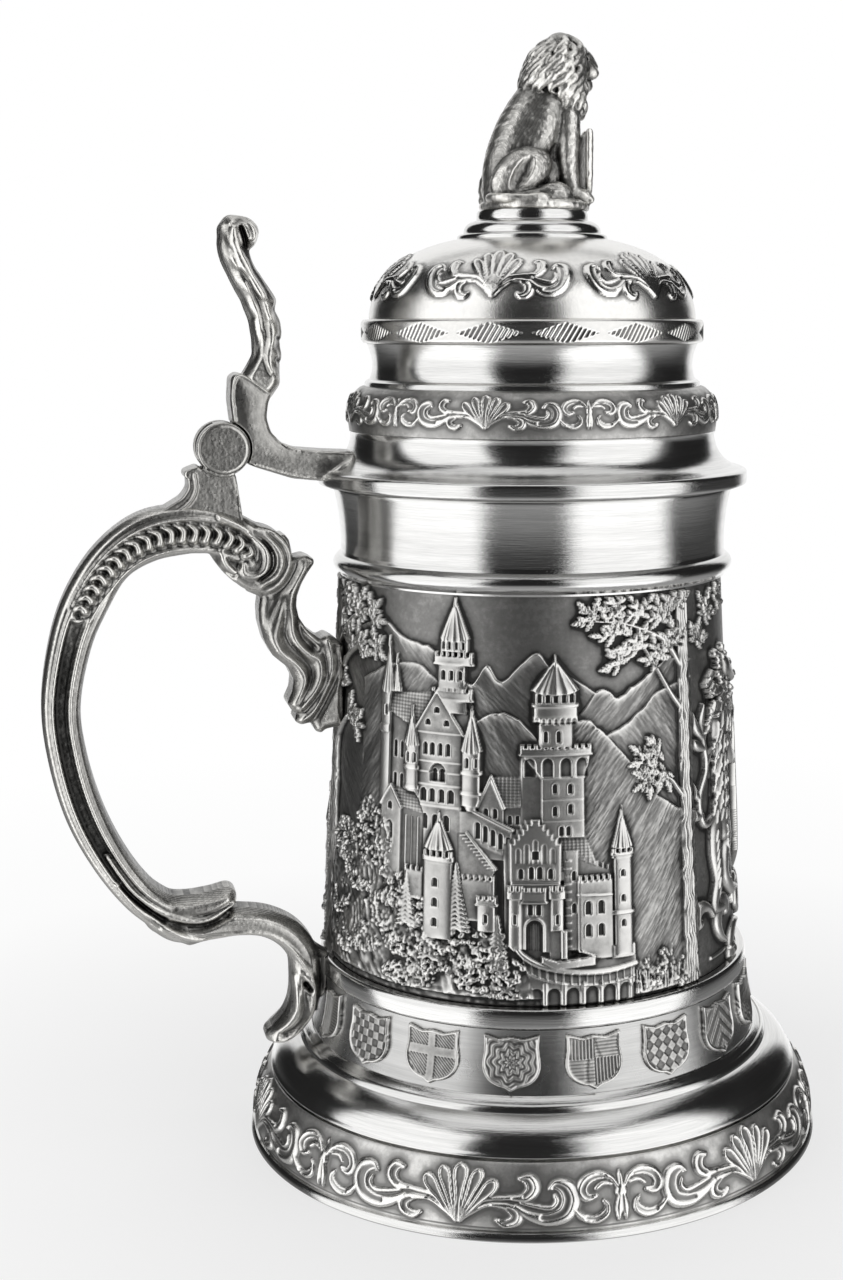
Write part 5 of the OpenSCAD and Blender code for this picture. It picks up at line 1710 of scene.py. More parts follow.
def scroll_casting():
    """The leafy scroll that joins the volute to the cup."""
    c = Casting(40.2, 63, 87, 133, 5.0, 0.22)
    c.slab([(54.8, 130.4), (53, 131.1), (52, 129.8), (51.6, 127.7), (51.3, 126.1), (48.8, 126.6),
            (47, 125.7), (47, 124.7), (48.5, 122.7), (49.7, 120.7), (50.6, 118.3), (50.8, 116.2),
            (50.3, 113.7), (48.7, 111.2), (46.2, 109.2), (44.6, 110), (43.1, 109.1), (41.2, 107.5),
            (41.4, 90.6), (43.6, 90.4), (45.3, 90.1), (46.2, 89.3), (47.4, 89.8), (48.2, 91.7),
            (50.3, 91.3), (51.7, 92.1), (51.2, 93.8), (52.3, 94.5), (53.1, 96), (52, 98.4), (51.7, 100.9),
            (52.9, 103.5), (55.9, 106.1), (57.5, 109.1), (58.4, 112.8), (58.5, 115.7), (58.1, 118.3),
            (61.1, 119.7), (61.2, 121.5), (60, 126)])
    c.soften(0.3)
    face = c.face
    for points, lift, base in (
            ([(52.3, 129.6, 0.6), (52.1, 126, 0.8), (53.6, 122.4, 0.8), (56.4, 120, 0.8),
              (60.2, 119.9, 0.6)], 1.0, 4.6),
            ([(49, 124.2, 0.9), (50.9, 120.6, 1.4), (52.8, 117.4, 1.9), (54.6, 113.6, 2.2),
              (55.8, 110.4, 1.6), (54.4, 106.8, 1.0), (51, 103.8, 1.0), (49.6, 100.8, 1.2),
              (50.6, 97.8, 1.0), (52.2, 95.7, 0.6)], 1.7, 4.2),
            ([(51.6, 119, 0.3), (51.8, 115.5, 0.5), (51.9, 111.3, 0.6), (50.8, 108.6, 0.7),
              (48.6, 106.2, 0.8), (46.6, 104.8, 0.9), (46.3, 101.7, 1.2), (47.8, 98.4, 1.1),
              (51, 94.6, 0.8)], 1.5, 4.4),
            ([(44.6, 109.2, 0.7), (43.9, 104.3, 0.9), (45, 100.2, 0.9), (47.4, 95.5, 0.9),
              (50.7, 92.4, 0.8)], 1.2, 4.4),
            ([(42.2, 106.3, 0.6), (42.1, 100.9, 0.7), (44.3, 95.9, 0.9), (46.3, 90.8, 0.8)], 1.0, 4.0),
            ([(48.5, 112.6, 0.5), (50.2, 115.6, 0.5), (50.0, 118.6, 0.3)], 0.6, 4.6)):
        face.stroke(side_on(points), lift, base=base)
    for points, depth in (
            ([(52.9, 118.4, 0.3), (53.4, 114.4, 0.5), (53.7, 111.3, 0.6), (52.7, 108.4, 0.6),
              (50.2, 105.6, 0.6), (48.2, 102.8, 0.6), (48.6, 99.8, 0.6), (50.6, 96.8, 0.3)], 0.8),
            ([(50.7, 112.8, 0.5), (49.9, 110, 0.8), (48.5, 108.3, 0.9), (47.4, 107.3, 0.7)], 1.3),
            ([(45.2, 106.6, 0.3), (44.9, 102, 0.45), (46.2, 98.4, 0.5), (49.2, 94.5, 0.5),
              (51.4, 93.6, 0.3)], 0.8),
            ([(43.0, 107.6, 0.3), (43.0, 101.6, 0.4), (45.2, 97, 0.45), (47.6, 92.6, 0.4)], 0.8),
            ([(50.6, 128, 0.3), (50.9, 124.4, 0.5), (52.9, 120.6, 0.5), (56.2, 118.6, 0.4)], 0.6)):
        face.stroke(side_on(points), -depth)
    face.h = blurred(face.h, 0.45 / c.step, 2)
    return c.skin("handle_scroll", 1.9, wear=1.4, carve=lambda x, y, z: cup_radius(z) - np.hypot(x, y))


def cup_radius(z):
    """The bare cup, its belt and the band under it, for castings that sit against them."""
    return np.interp(z, [FOOT_TOP, 30, FLOOR, FLOOR + 0.1, BELT_TOP, BELT_TOP + 0.1, BARREL_TOP],
                     [48.3, 46.9, 45.9, 46.3, 46.3, 44.4, 40.2])


KNUCKLE = 4.0  # width of the strap's knuckle between the two ears
EAR_R = 5.3
HINGE_GAP = 0.3
PIN_CLEAR = 1.4  # a little less than the pin's radius, so that no light shows round it


def hinge_space(x, z, reach):
    """Room round the hinge's axis, as distance, positive inside it."""
    return reach - np.hypot(x + HINGE_R, z - HINGE_Z)


def lug_casting():
    """The lug on the handle with its two round ears."""
    c = Casting(56, 82, 129, 154.5, 4.6, 0.2)
    c.slab([(72, 143.6), (71.9, 140.6), (73.2, 138.8), (77.5, 136.2), (82, 134.6), (80, 131), (61, 131),
            (61.4, 135.6), (62.4, 143), (64, 146)])
    c.soften(0.4)
    c.bar([(HINGE_R, HINGE_Z, EAR_R), (HINGE_R, HINGE_Z + 0.01, EAR_R)], smooth=False)
    c.bar([(71.6, 143.4, 1.0), (70, 144, 1.0)], smooth=False)
    face = c.face
    ear = np.hypot(face.x + HINGE_R, face.z - HINGE_Z)
    face.h = np.where(ear < EAR_R + 0.25, 5.25, face.h)
    face.stroke(side_on([(70.6, 143.4, 0.35), (70.4, 140.4, 0.35), (72, 137.6, 0.35), (76, 135, 0.3)]), 0.4)
    face.stroke(side_on([(62.2, 144, 0.3), (61.8, 138, 0.3), (61.2, 133, 0.3)]), 0.3)

    def gap(x, y, z):
        """Room for the strap's knuckle and for the pin."""
        knuckle = np.minimum(KNUCKLE / 2 + HINGE_GAP - np.abs(y), hinge_space(x, z, EAR_R + HINGE_GAP + 0.1))
        return np.maximum(knuckle, hinge_space(x, z, PIN_CLEAR))

    return c.skin("hinge_lug_skin", 0.55, wear=0.9, carve=gap, rough=0.015)


def strap_casting():
    """The strap: its knuckle, the post and the arm that is soldered to the flange."""
    c = Casting(36, 66.5, 139.5, 165.5, 5.2, 0.22)
    c.slab([(62.6, 152), (63.2, 158), (62.9, 162.6), (61.4, 163.6), (59.8, 162.8), (54.8, 159.2),
            (55.6, 157.4), (56, 154.4), (55.2, 151.6), (53.2, 149.4), (50, 148.2), (44, 147.7), (36, 147.3),
            (36, 141.4), (44.8, 141.5), (51.1, 142.2), (58.5, 144.6), (61.6, 146)])
    c.soften(0.35)
    face = c.face
    for points in ([(54.6, 158.6, 0.4), (55.3, 155, 0.4), (54.6, 151.6, 0.4), (52, 148.8, 0.4),
                    (47, 147.7, 0.35), (39, 147.1, 0.3)], [(62.4, 154, 0.35), (62.7, 160, 0.35),
            (61, 163, 0.35), (55, 159, 0.3)], [(58.6, 145, 0.3), (51, 142.8, 0.3), (45, 142, 0.3)],
                   [(36.6, 146.6, 0.5), (40, 145.4, 0.5), (43.2, 143.2, 0.5), (45, 141.9, 0.4)]):
        face.stroke(side_on(points), 0.45)
    face.h -= 0.6 * np.clip(1 + c.shape / 4, 0, 1) ** 2
    near_flange = np.clip((46.5 + face.x) / 6, 0, 1)
    face.h += 2.6 * near_flange**1.5 * np.clip((147 - face.z) / 5, 0, 1)
    c.bar([(HINGE_R, HINGE_Z, EAR_R - 0.1), (HINGE_R, HINGE_Z + 0.01, EAR_R - 0.1)], smooth=False)

    def gap(x, y, z):
        """Room for the lug's two ears, for the pin and for the lid itself."""
        ears = np.minimum(np.abs(y) - KNUCKLE / 2, hinge_space(x, z, EAR_R + HINGE_GAP))
        bore = hinge_space(x, z, PIN_CLEAR)
        return np.maximum(np.maximum(ears, bore), lid_radius(z) - np.hypot(x, y))

    return c.skin("strap_skin", 0.8, wear=0.9, carve=gap, rough=0.012)


def lid_radius(z):
    """The lid's outside and the room under it, for the strap to sit against."""
    return np.interp(z, [LID - 1, LID + 0.8, LID + 0.9, LID + 3.1, LID + 4.5, LID + 9.7],
                     [60, 60, 44.4, 43.4, 39.4, 37.6])


def thumb_casting():
    """The thumb rest: a bent acanthus leaf that rolls over at the top."""
    c = Casting(50.5, 67, 157, 196.6, 5.4, 0.22)
    c.slab([(61.2, 161.8), (55.4, 157.6), (52.9, 161.0), (52.9, 164.6), (52.4, 166.6), (52.9, 168.6),
            (52.4, 171), (52.6, 173.4), (53.8, 175.8), (53.2, 177.6), (55.2, 180.6), (57.4, 184),
            (58.7, 187), (59.2, 189), (61.2, 189.6), (61.6, 192), (60.4, 193.9), (62.6, 194), (64.0, 192),
            (64.4, 188.4), (63.8, 185.4), (62, 181.4), (60, 177.6), (58.6, 174), (58.0, 170.4), (57.9, 167),
            (59.3, 164.6)])
    c.bar([(60.2, 190.4, 3.3), (60.0, 190.4, 3.3)], smooth=False)
    c.soften(0.35)
    face = c.face
    face.h = np.interp(face.z, [157, 162, 166, 172, 178, 184, 190, 196],
                       [5.1, 5.1, 4.3, 4.5, 5.2, 5.8, 6.3, 6.3])
    face.h = np.minimum(face.h, face.h - 1.9 + 1.25 * np.clip(-c.shape, 0, 2))
    for points, lift in (
            ([(54.8, 163.4, 0.5), (55.3, 166, 0.8), (54.6, 171, 0.9), (55.4, 175.6, 1.0), (57.4, 180, 0.9),
              (59.9, 184.4, 0.9), (61.6, 188.4, 0.9), (61.9, 191.4, 0.6)], 0.9),
            ([(58.9, 165.4, 0.5), (57.8, 169, 0.6), (58.0, 173.4, 0.5)], 0.5),
            ([(62.6, 192.2, 0.5), (60.6, 193.6, 0.6), (58.4, 192.6, 0.7), (57.4, 190.6, 0.7),
              (57.9, 188.9, 0.4)], 0.9)):
        face.stroke(side_on(points), lift)
    for points, depth in (
            ([(60.3, 191.6, 0.35), (59.7, 189.6, 0.5), (59.2, 187.6, 0.35)], 1.5),
            ([(56.2, 172, 0.4), (56.9, 176.4, 0.6), (59, 181, 0.4)], 0.4)):
        face.stroke(side_on(points), -depth)
    for z in (164.8, 169.2, 174.6):
        face.stroke(side_on([(53.8, z + 1.2, 0.3), (51.8, z - 0.2, 0.5)]), -0.9)
    face.h = blurred(face.h, 0.3 / c.step, 1)

    def lobed(field, x, y, z):
        """Veins along the leaf, and lobes down both sides."""
        grown = np.clip((z - 162.5) / 5, 0, 1)
        veins = 0.16 * np.cos(2 * math.pi * y / 2.6) * grown
        lobes = 0.22 * np.cos(2 * math.pi * (z + 0.9 * np.abs(y)) / 5.2)
        lobes = lobes * np.clip((np.abs(y) - 2.0) / 3, 0, 1)
        return field + (veins + lobes * grown) + 0.05 * grain(x + 0 * z, z + 0 * x, 1.6, 91)

    return c.skin("thumb_leaf", 1.5, wear=1.8, warp=lobed)


def pin_caps():
    """The two flat heads of the pin, with a hammered face."""
    r, turn = np.linspace(0, 5.0, 26)[:, None], np.linspace(0, 2 * math.pi, 96, endpoint=False)[None]
    things = []
    for side in (-1, 1):
        x, z = r * np.cos(turn), r * np.sin(turn)
        high = 0.42 + 0.014 * grain(x, z, 0.9, 7 + side) + 0.01 * grain(x, z, 0.4, 9) - 0.5 * np.clip(r
                - 4.5, 0, 1)
        face = np.stack([x - HINGE_R, side * (5.25 + high), z + HINGE_Z], -1)
        rim = np.stack([x[-1:] - HINGE_R, 0 * x[-1:] + side * 5.2, z[-1:] + HINGE_Z], -1)
        faces = grid_faces(27, 96, False, True)
        wear = np.vstack([0.38 + 2.0 * (high - 0.4) + 0.3 * (r > 4.2), high[-1:] * 0 + 0.3])
        points = np.vstack([face.reshape(-1, 3), rim.reshape(-1, 3)])
        things.append(make_mesh(f"pin_cap_{'near' if side < 0 else 'far'}", points,
                                faces[:, ::-1] if side < 0 else faces, wear))
    return things


# ---------------------------------------------------------------- lion


class Clay:
    """A modelled figure: soft shapes run together in a block of space, negative inside them."""

    def __init__(self, low, high, step):
        """An empty block between two corners."""
        self.low, self.step = np.array(low, float), step
        self.axes = [np.arange(a, b, step) for a, b in zip(low, high)]
        self.field = np.full([len(a) for a in self.axes], 9.0, np.float32)

    def window(self, low, high):
        """The part of the block between two corners, and its places along the three axes."""
        cut, at = [], []
        for k, axis in enumerate(self.axes):
            span = slice(*np.searchsorted(axis, (low[k], high[k])))
            cut.append(span)
            at.append(axis[span].reshape([-1 if j == k else 1 for j in range(3)]))
        return tuple(cut), at

    def merge(self, place, shape, blend, take):
        """Adds a shape to what is there with a soft seam, or takes it away."""
        old = self.field[place]
        if take:
            self.field[place] = np.maximum(old, -shape)
            return
        seam = np.clip(blend - np.abs(old - shape), 0, None) / blend
        self.field[place] = np.minimum(old, shape) - seam * seam * blend / 4

    def ball(self, centre, radii, blend=0.8, lean=0.0, take=False):
        """An egg shape; lean tips it backwards, in degrees, as seen from the side."""
        reach = max(radii) + 2
        place, (x, y, z) = self.window([c - reach for c in centre], [c + reach for c in centre])
        c, s = math.cos(math.radians(lean)), math.sin(math.radians(lean))
        x, y, z = x - centre[0], y - centre[1], z - centre[2]
        u, w = x * c + z * s, z * c - x * s
        near = np.sqrt((u / radii[0]) ** 2 + (y / radii[1]) ** 2 + (w / radii[2]) ** 2)
        slope = np.sqrt((u / radii[0] ** 2) ** 2 + (y / radii[1] ** 2) ** 2 + (w / radii[2] ** 2) ** 2)
        self.merge(place, near * (near - 1) / np.maximum(slope, 1e-6), blend, take)

    def limb(self, points, blend=0.5, take=False, smooth=True):
        """A tapering strand through places of (x, y, z, radius)."""
        line = flow(points, 4) if smooth and len(points) > 2 else np.array(points, float)
        reach = line[:, 3].max() + 1.5
        place, (x, y, z) = self.window(line[:, :3].min(0) - reach, line[:, :3].max(0) + reach)
        best = np.full(np.broadcast_shapes(x.shape, y.shape, z.shape), 9.0)
        for a, b in zip(line[:-1], line[1:]):
            d = b[:3] - a[:3]
            t = ((x - a[0]) * d[0] + (y - a[1]) * d[1] + (z - a[2]) * d[2]) / max(d @ d, 1e-9)
            t = np.clip(t, 0, 1)
            away = np.sqrt((x - a[0] - t * d[0]) ** 2 + (y - a[1] - t * d[1]) ** 2
                           + (z - a[2] - t * d[2]) ** 2)
            best = np.minimum(best, away - a[3] - t * (b[3] - a[3]))
        self.merge(place, best, blend, take)

    def pair(self, kind, points, **how):
        """The same shape on both sides."""
        for side in (-1, 1):
            if kind == "limb":
                self.limb([(x, side * y, z, r) for x, y, z, r in points], **how)
            else:
                centre, radii = points
                self.ball((centre[0], side * centre[1], centre[2]), radii, **how)


MANE_HEIGHTS = [18.5, 21.0, 23.5, 26.0, 28.6, 31.2, 33.3, 34.4]
MANE_BACK = [4.6, 1.6, -2.0, -1.5, -0.7, 0.6, 2.6, 5.0]
MANE_FRONT = [9.6, 10.4, 10.6, 10.4, 10.2, 10.2, 9.6, 7.6]
MANE_HALF = [2.6, 4.8, 6.1, 6.6, 6.4, 5.5, 3.8, 1.2]


def mane_size(z):
    """How far the mane reaches back, forward and sideways at a height."""
    return (float(np.interp(z, MANE_HEIGHTS, line)) for line in (MANE_BACK, MANE_FRONT, MANE_HALF))


def mane_place(way, z, out):
    """A place on the mane that many degrees round from its front."""
    back, front, half = mane_size(z)
    c, s = math.cos(math.radians(way)), math.sin(math.radians(way))
    return (0.5 * (front + back) + (0.5 * (front - back) + out) * c, (half + out) * s, z)


def mane(clay):
    """Wavy pointed locks in rows, from the crown down to the shoulders and the chest."""
    for z in np.linspace(19.5, 33.2, 10):
        back, front, half = mane_size(z)
        size = (0.5 * (front - back) - 0.7, half - 0.7, 2.4)
        clay.ball((0.5 * (front + back) - 0.3, 0, z), size, blend=0.6)
    rng = np.random.default_rng(17)
    for row in range(9):
        top = 34.9 - 1.7 * row
        count = (7, 12, 16, 20, 22, 22, 22, 20, 18)[row]
        for k in range(count):
            way = 360 * (k + 0.5 * (row % 2)) / count + rng.uniform(-4, 4)
            front = math.cos(math.radians(way))
            if (front > 0.8 and top > 24.6) or (front < -0.1 and top < 26.6):
                continue
            sway, start = rng.uniform(10, 15), rng.uniform(-0.12, 0.12)
            length = rng.uniform(4.6, 6.2)
            places = []
            for t, half in ((0, 0.4), (0.2, 0.75), (0.42, 0.85), (0.64, 0.78), (0.84, 0.5), (1.0, 0.16)):
                turn = way + sway * math.sin(2 * math.pi * (t + start))
                low = max(top - length * t, 19.0)
                places.append((*mane_place(turn, low, 0.05 + 0.45 * math.sin(math.pi * t)), half))
            clay.limb(places, blend=0.1)


def head(clay):
    """The lion's face, with its brow, eyes, cheeks, nose, mouth and ears."""
    clay.ball((6.6, 0, 29.2), (4.9, 4.2, 4.5), blend=0.6)
    clay.ball((10.5, 0, 28.2), (3.2, 2.9, 2.9), blend=1.2, lean=-12)
    clay.limb([(8.6, 0, 32.0, 1.7), (11.2, 0, 30.8, 1.5), (12.4, 0, 29.4, 1.3)], blend=0.6)
    clay.ball((12.9, 0, 29.0), (1.0, 1.4, 0.9), blend=0.3)
    clay.pair("ball", ((11.9, 1.15, 27.7), (1.9, 1.6, 1.4)), blend=0.4)
    clay.ball((10.9, 0, 25.2), (1.9, 1.9, 1.4), blend=0.6)
    clay.limb([(10.4, -2.8, 25.9, 0.35), (12.4, -1.3, 26.3, 0.4), (12.9, 0, 26.4, 0.45),
               (12.4, 1.3, 26.3, 0.4), (10.4, 2.8, 25.9, 0.35)], take=True)
    clay.pair("limb", [(8.6, 3.0, 31.0, 0.8), (10.0, 2.1, 31.9, 0.9), (10.9, 1.0, 31.5, 0.6)], blend=0.4)
    clay.pair("ball", ((10.5, 2.0, 30.4), (0.8, 0.75, 0.65)), take=True)
    clay.pair("ball", ((10.3, 1.85, 30.4), (0.5, 0.5, 0.42)), blend=0.1)
    clay.pair("ball", ((9.0, 3.0, 28.0), (1.7, 1.4, 1.8)), blend=0.6)
    clay.pair("limb", [(12.4, 0.4, 28.5, 0.18), (13.0, 0.9, 28.0, 0.18), (12.8, 1.9, 27.0, 0.16)], take=True)
    clay.pair("limb", [(6.2, 4.0, 31.6, 0.9), (5.6, 4.8, 32.7, 0.8), (5.4, 4.6, 33.2, 0.3)], blend=0.4)


def lion_body(clay):
    """The lion's back, chest, legs, paws and tail."""
    clay.limb([(-4.6, 0, 4.2, 5.9), (-4.2, 0, 9.0, 5.9), (-2.6, 0, 14.0, 5.8), (-0.4, 0, 18.6, 5.5),
               (2.8, 0, 23.4, 5.0)], blend=0.6)
    clay.ball((3.6, 0, 15.8), (5.0, 4.6, 6.6), blend=1.2, lean=12)
    clay.ball((2.4, 0, 8.0), (4.6, 4.4, 5.6), blend=1.2)
    clay.pair("limb", [(3.0, 2.7, 20.5, 2.9), (1.6, 3.5, 16.5, 2.9), (-0.4, 3.6, 12.0, 2.6)], blend=2.2)
    clay.pair("ball", ((-3.7, 5.0, 6.9), (7.3, 3.5, 4.8)), blend=0.2, lean=38)
    clay.pair("ball", ((-4.3, 9.1, 7.2), (5.6, 1.9, 1.9)), take=True, lean=58)
    clay.pair("limb", [(-5.8, 8.2, 2.6, 0.35), (-3.6, 8.5, 4.2, 0.4), (-1.8, 8.5, 6.0, 0.3)], take=True)
    clay.pair("limb", [(-8.6, 6.0, 2.4, 1.3), (-4, 7.6, 2.5, 1.1), (0.4, 7.6, 3.4, 1.1),
                       (2.0, 7.2, 4.2, 0.9)], blend=0.3)
    clay.pair("limb", [(6.3, 3.2, 18.4, 2.9), (6.5, 3.4, 13.6, 2.6), (6.6, 3.4, 8.8, 2.2),
                       (7.4, 3.4, 4.6, 1.9)], blend=0.6)
    clay.pair("limb", [(7.6, 3.4, 3.6, 1.8), (9.6, 3.5, 3.0, 1.7), (10.5, 3.5, 2.6, 1.5)], blend=0.4)
    for toe in (-0.9, 0, 0.9):
        clay.pair("limb", [(9.8, 3.5 + toe, 3.1, 0.6), (11.3, 3.5 + 1.1 * toe, 2.2, 0.65)], blend=0.15)
    clay.limb([(-8.8, -1.6, 2.3, 1.1), (-9.8, -4.4, 2.3, 1.0), (-8.2, -7.8, 2.2, 0.9),
               (-4.2, -9.6, 2.1, 0.8), (-0.6, -9.9, 2.2, 1.0), (1.4, -9.7, 2.3, 0.3)], blend=0.3)


def plinth_and_shield(clay):
    """The rough rock the lion sits on, and the blank shield between its paws."""
    place, (x, y, z) = clay.window((-12, -12, -1), (13.6, 12, 6))
    round_it = 11 * np.arctan2(y, x - 0.4) + 0 * z
    far = np.hypot(x - 0.6, y) + 0.3 * grain(round_it, z + 0 * round_it, 3.4, 51)
    far = far + 0.1 * grain(round_it, z + 0 * round_it, 1.1, 52) + 0.1 * z
    flat_x, flat_y = x + 0 * y, y + 0 * x
    top = z - 1.9 - 0.25 * grain(flat_x, flat_y, 2.8, 53) - 0.12 * grain(flat_x, flat_y, 1.1, 54)
    clay.merge(place, rounded_both(far - 11.4, np.maximum(top, -z), 0.9), 0.5, False)
    clay.pair("ball", ((2.9, 7.2, 2.0), (3.8, 2.6, 3.6)), blend=0.8, lean=14)
    place, (x, y, z) = clay.window((8, -8, 2), (14.5, 8, 18.6))
    half = np.interp(z, [1.9, 3.8, 6.5, 10.6, 16.2], [0.3, 3.2, 4.7, 5.2, 5.2])
    bowed = x - 11.5 + 0.03 * y * y
    edge = np.maximum(np.abs(y) - half, z - 16.0 - 0.4 * np.cos(y * 1.2))
    rim = 0.28 * np.exp(-((edge + 0.8) ** 2) / 0.3)
    clay.merge(place, rounded_both(edge, np.abs(bowed) - 0.55 - rim, 0.35), 0.15, False)
    for y in (-3.5, 3.5):
        clay.limb([(9.2, y, 2.7, 1.0), (11.4, y, 2.4, 0.9)], blend=0.3)


def lion():
    """The seated lion with its shield, on a rock."""
    clay = Clay((-12.5, -12.2, -0.4), (14.8, 12.2, 37.2), LION_STEP)
    lion_body(clay)
    plinth_and_shield(clay)
    mane(clay)
    head(clay)
    x, y, z = (a.reshape([-1 if j == k else 1 for j in range(3)]) for k, a in enumerate(clay.axes))
    skin = grain(x + 0.6 * y, z + 0.5 * y, 0.75, 61)
    clay.field += (0.07 * skin * np.clip((LOCKS_END - z) / 3, 0, 1)).astype(np.float32)
    clay.field = np.maximum(clay.field, -z)
    points, faces, place = surface_net(clay.field, clay.low, clay.step)
    wear = 0.43 + 0.06 * np.clip((LOCKS_END - points[:, 2]) / 3, 0, 1)
    for reach, share in ((0.8, 0.12), (1.9, 0.1)):
        hollow = blurred(np.clip(clay.field, -3, 3), reach / clay.step, 2)[tuple(place.T)]
        wear = wear + share * np.clip((hollow - hollow.mean()) / hollow.std(), -3, 2)
    wear = np.clip(wear, 0, 1)
    return make_mesh("lion_figure", points + (0, 0, LION), faces, wear)


# ---------------------------------------------------------------- studio


def round_the_camera(turn, distance, height):
    """A place that far to the right of the camera, in degrees round the axis."""
    angle = math.radians(CAMERA_TURN + turn)
    return Vector((distance * math.cos(angle), distance * math.sin(angle), height))


def soft_light(name, turn, distance, height, wide, tall, glow, aim=0.12):
    """A soft box of that width and height in metres, with an even glow."""
    data = bpy.data.lights.new(name, "AREA")
    data.shape = "RECTANGLE"
    data.size = wide
    data.size_y = tall
    data.energy = glow * wide * tall * math.pi
    lamp = bpy.data.objects.new(name, data)
    lamp.location = round_the_camera(turn, distance, height)
    lamp.rotation_euler = (lamp.location - Vector((0, 0, aim))).to_track_quat("Z", "Y").to_euler()
    lamp.visible_camera = False
    bpy.context.scene.collection.objects.link(lamp)


def world_light():
    """White behind the object, and a dim room with a pale ground in what it mirrors."""
    world = bpy.data.worlds.new("room")
    bpy.context.scene.world = world
    world.use_nodes = True
    tree = world.node_tree
    tree.nodes.clear()
    output = tree.nodes.new("ShaderNodeOutputWorld")
    place = add_node(tree, "TexCoord").outputs["Generated"]
    up = add_node(tree, "SeparateXYZ", [(0, place)]).outputs[2]
    level = math_node(tree, "MULTIPLY_ADD", up, 0.5, 0.5)
    room = ramp(tree, level, [(0.05, 0.5), (0.3, 0.3), (0.4, 0.09), (0.5, 0.03), (0.53, 0.02)])
    mirrored = add_node(tree, "Background", [(0, room)])
    white = add_node(tree, "Background")
    white.inputs[0].default_value = (1, 1, 1, 1)
    sees = add_node(tree, "LightPath").outputs["Is Camera Ray"]
    both = add_node(tree, "MixShader", [(0, sees), (1, mirrored.outputs[0]), (2, white.outputs[0])])
    tree.links.new(both.outputs[0], output.inputs[0])


def studio():
    """A pale floor that fades out, two tall soft boxes with a dark gap at the camera, and the camera."""
    soft_light("box_left", -59, 1.3, 0.4, 1.5, 3.2, 1.3, 0.4)
    soft_light("box_right", 54, 1.3, 0.4, 1.6, 3.2, 1.3, 0.4)
    soft_light("box_above", 180, 0.25, 1.7, 1.8, 1.8, 0.9)
    soft_light("card_behind", 180, 1.7, 0.5, 2.4, 2.4, 1.0)
    world_light()
    bpy.ops.mesh.primitive_circle_add(vertices=96, radius=8, fill_type="NGON")
    floor = bpy.context.object
    floor.name = "floor"
    floor.visible_glossy = False
    floor.data.materials.append(pale_floor("floor"))
    data = bpy.data.cameras.new("camera")
    data.lens = CAMERA_LENS
    data.sensor_width = 36
    data.shift_x = CAMERA_SHIFT
    data.clip_start = 0.01
    camera = bpy.data.objects.new("camera", data)
    camera.location = round_the_camera(0, CAMERA_DISTANCE, CAMERA_HEIGHT)
    camera.rotation_euler = (math.radians(90 - CAMERA_TILT), 0, math.radians(CAMERA_TURN - 270))
    bpy.context.scene.collection.objects.link(camera)
    bpy.context.scene.camera = camera
    bpy.context.scene.view_settings.view_transform = "Standard"


# ---------------------------------------------------------------- the object


def belong(things, body, slot, material, *nodes):
    """The pieces ride on a body, take a finish and stand for CAD nodes, which are hidden."""
    for thing in things:
        thing.data.materials.append(material)
        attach(thing, body)
        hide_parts(*nodes)


def refinish(frame, material, *nodes):
    """Gives CAD nodes that stay in view a better material."""
    for node in nodes:
        for slot in frame["nodes"][node].material_slots:
            slot.material = material


def lid_lining():
    """What shows inside the lid when it is open."""
    band = turned("lid_band_lining", [(37.2, BAND)], bow((37.4, BAND + 2), (37.6, 157), (34.6, 159.9), 10),
                  [(32.6, NECK - 0.2)], bow((34.2, 159.0), (36.4, 157), (36.1, BAND), 10))
    dome = turned("dome_lining", [(33.2, LOZENGE)], bow((32.9, 172), (32.6, 185.6), (15, 189.2), 16),
                  [(2.2, 189.4), (2.2, 188.2)], bow((14.6, 188.2), (31.5, 185), (32.1, LOZENGE), 16))
    return band, dome


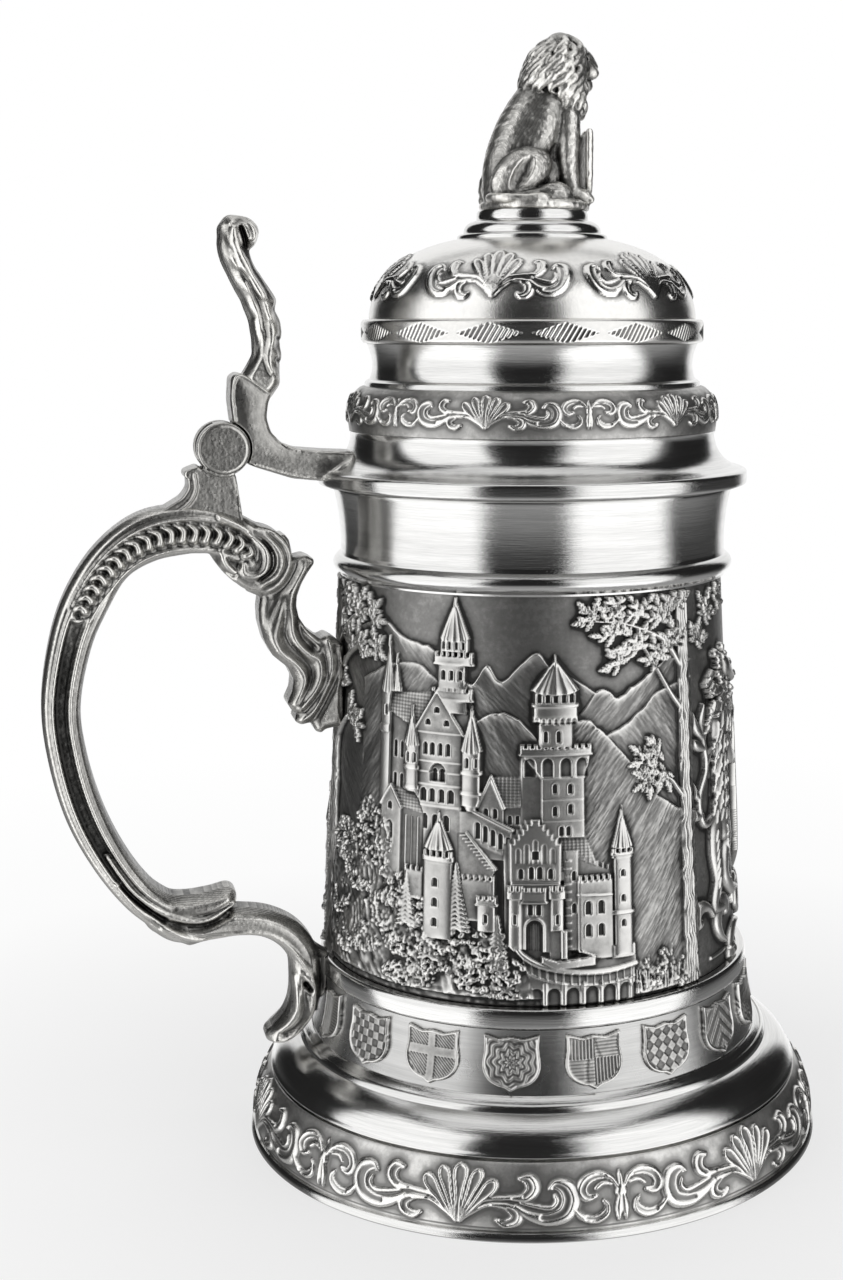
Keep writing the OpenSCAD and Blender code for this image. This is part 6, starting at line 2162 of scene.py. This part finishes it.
def main():
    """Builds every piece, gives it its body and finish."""
    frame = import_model()
    turned_metal = turned_pewter("turned_pewter")
    relief_metal = antiqued_pewter("relief_pewter")
    ornament_metal = antiqued_pewter("ornament_pewter", 0.22, 0.56, 0.82, 0.31)
    dome_metal = antiqued_pewter("dome_pewter", 0.17, 0.64, 0.86, 0.2)
    cast_metal = cast_pewter("cast_pewter")
    lion_metal = cast_pewter("lion_pewter", 0.018, 0.31, 0.9, 0.34, 0.6, 0.45)
    satin_metal = turned_pewter("satin_pewter", 0.56, 0.26)
    refinish(frame, turned_metal, "vessel_floor", "lid_skirt")
    refinish(frame, cast_metal, "base_plate")
    refinish(frame, drawn_steel("steel"), "hinge_pin", "finial_screw", "finial_washer")

    belong(foot_parts(), "vessel", "turned_pewter", turned_metal, "foot")
    belong(foot_ornament(), "vessel", "turned_pewter", ornament_metal, "foot")
    band, belt, collar = body_rings()
    belong([band], "vessel", "turned_pewter", satin_metal, "shield_band")
    belong([belt], "vessel", "turned_pewter", turned_metal, "belt_ring")
    belong([collar], "vessel", "turned_pewter", turned_metal, "rim_collar")
    belong([cup_wall()], "vessel", "turned_pewter", turned_metal, "barrel")
    belong(barrel_skin(), "vessel", "antiqued_pewter", relief_metal, "barrel")
    belong(shields(), "vessel", "antiqued_pewter", relief_metal, "shields")
    flange, neck, pedestal = lid_parts()
    belong([flange], "lid", "turned_pewter", turned_metal, "lid_flange")
    belong([neck], "lid", "turned_pewter", turned_metal, "lid_neck")
    belong([pedestal], "lid", "turned_pewter", turned_metal, "finial_pedestal")
    band_lining, dome_lining = lid_lining()
    belong([band_lining], "lid", "turned_pewter", turned_metal, "lid_relief_band")
    belong([dome_lining], "lid", "turned_pewter", turned_metal, "lid_dome")
    belong(lid_band_ornament(), "lid", "antiqued_pewter", ornament_metal, "lid_relief_band")
    belong(lozenge_ring(), "lid", "turned_pewter", dome_metal, "lozenge_band")
    belong(dome_ornament(), "lid", "turned_pewter", dome_metal, "lid_dome")

    belong([*handle_casting(), scroll_casting()], "vessel", "cast_pewter", cast_metal, "handle")
    belong([lug_casting()], "vessel", "cast_pewter", cast_metal, "hinge_lug")
    belong(pin_caps(), "vessel", "cast_pewter", cast_metal, "pin_caps")
    belong([strap_casting()], "lid", "cast_pewter", cast_metal, "lid_strap")
    belong([thumb_casting()], "lid", "antiqued_pewter", cast_metal, "thumb_rest")
    belong([lion()], "lid", "antiqued_pewter", lion_metal, "lion")

    studio()


main()
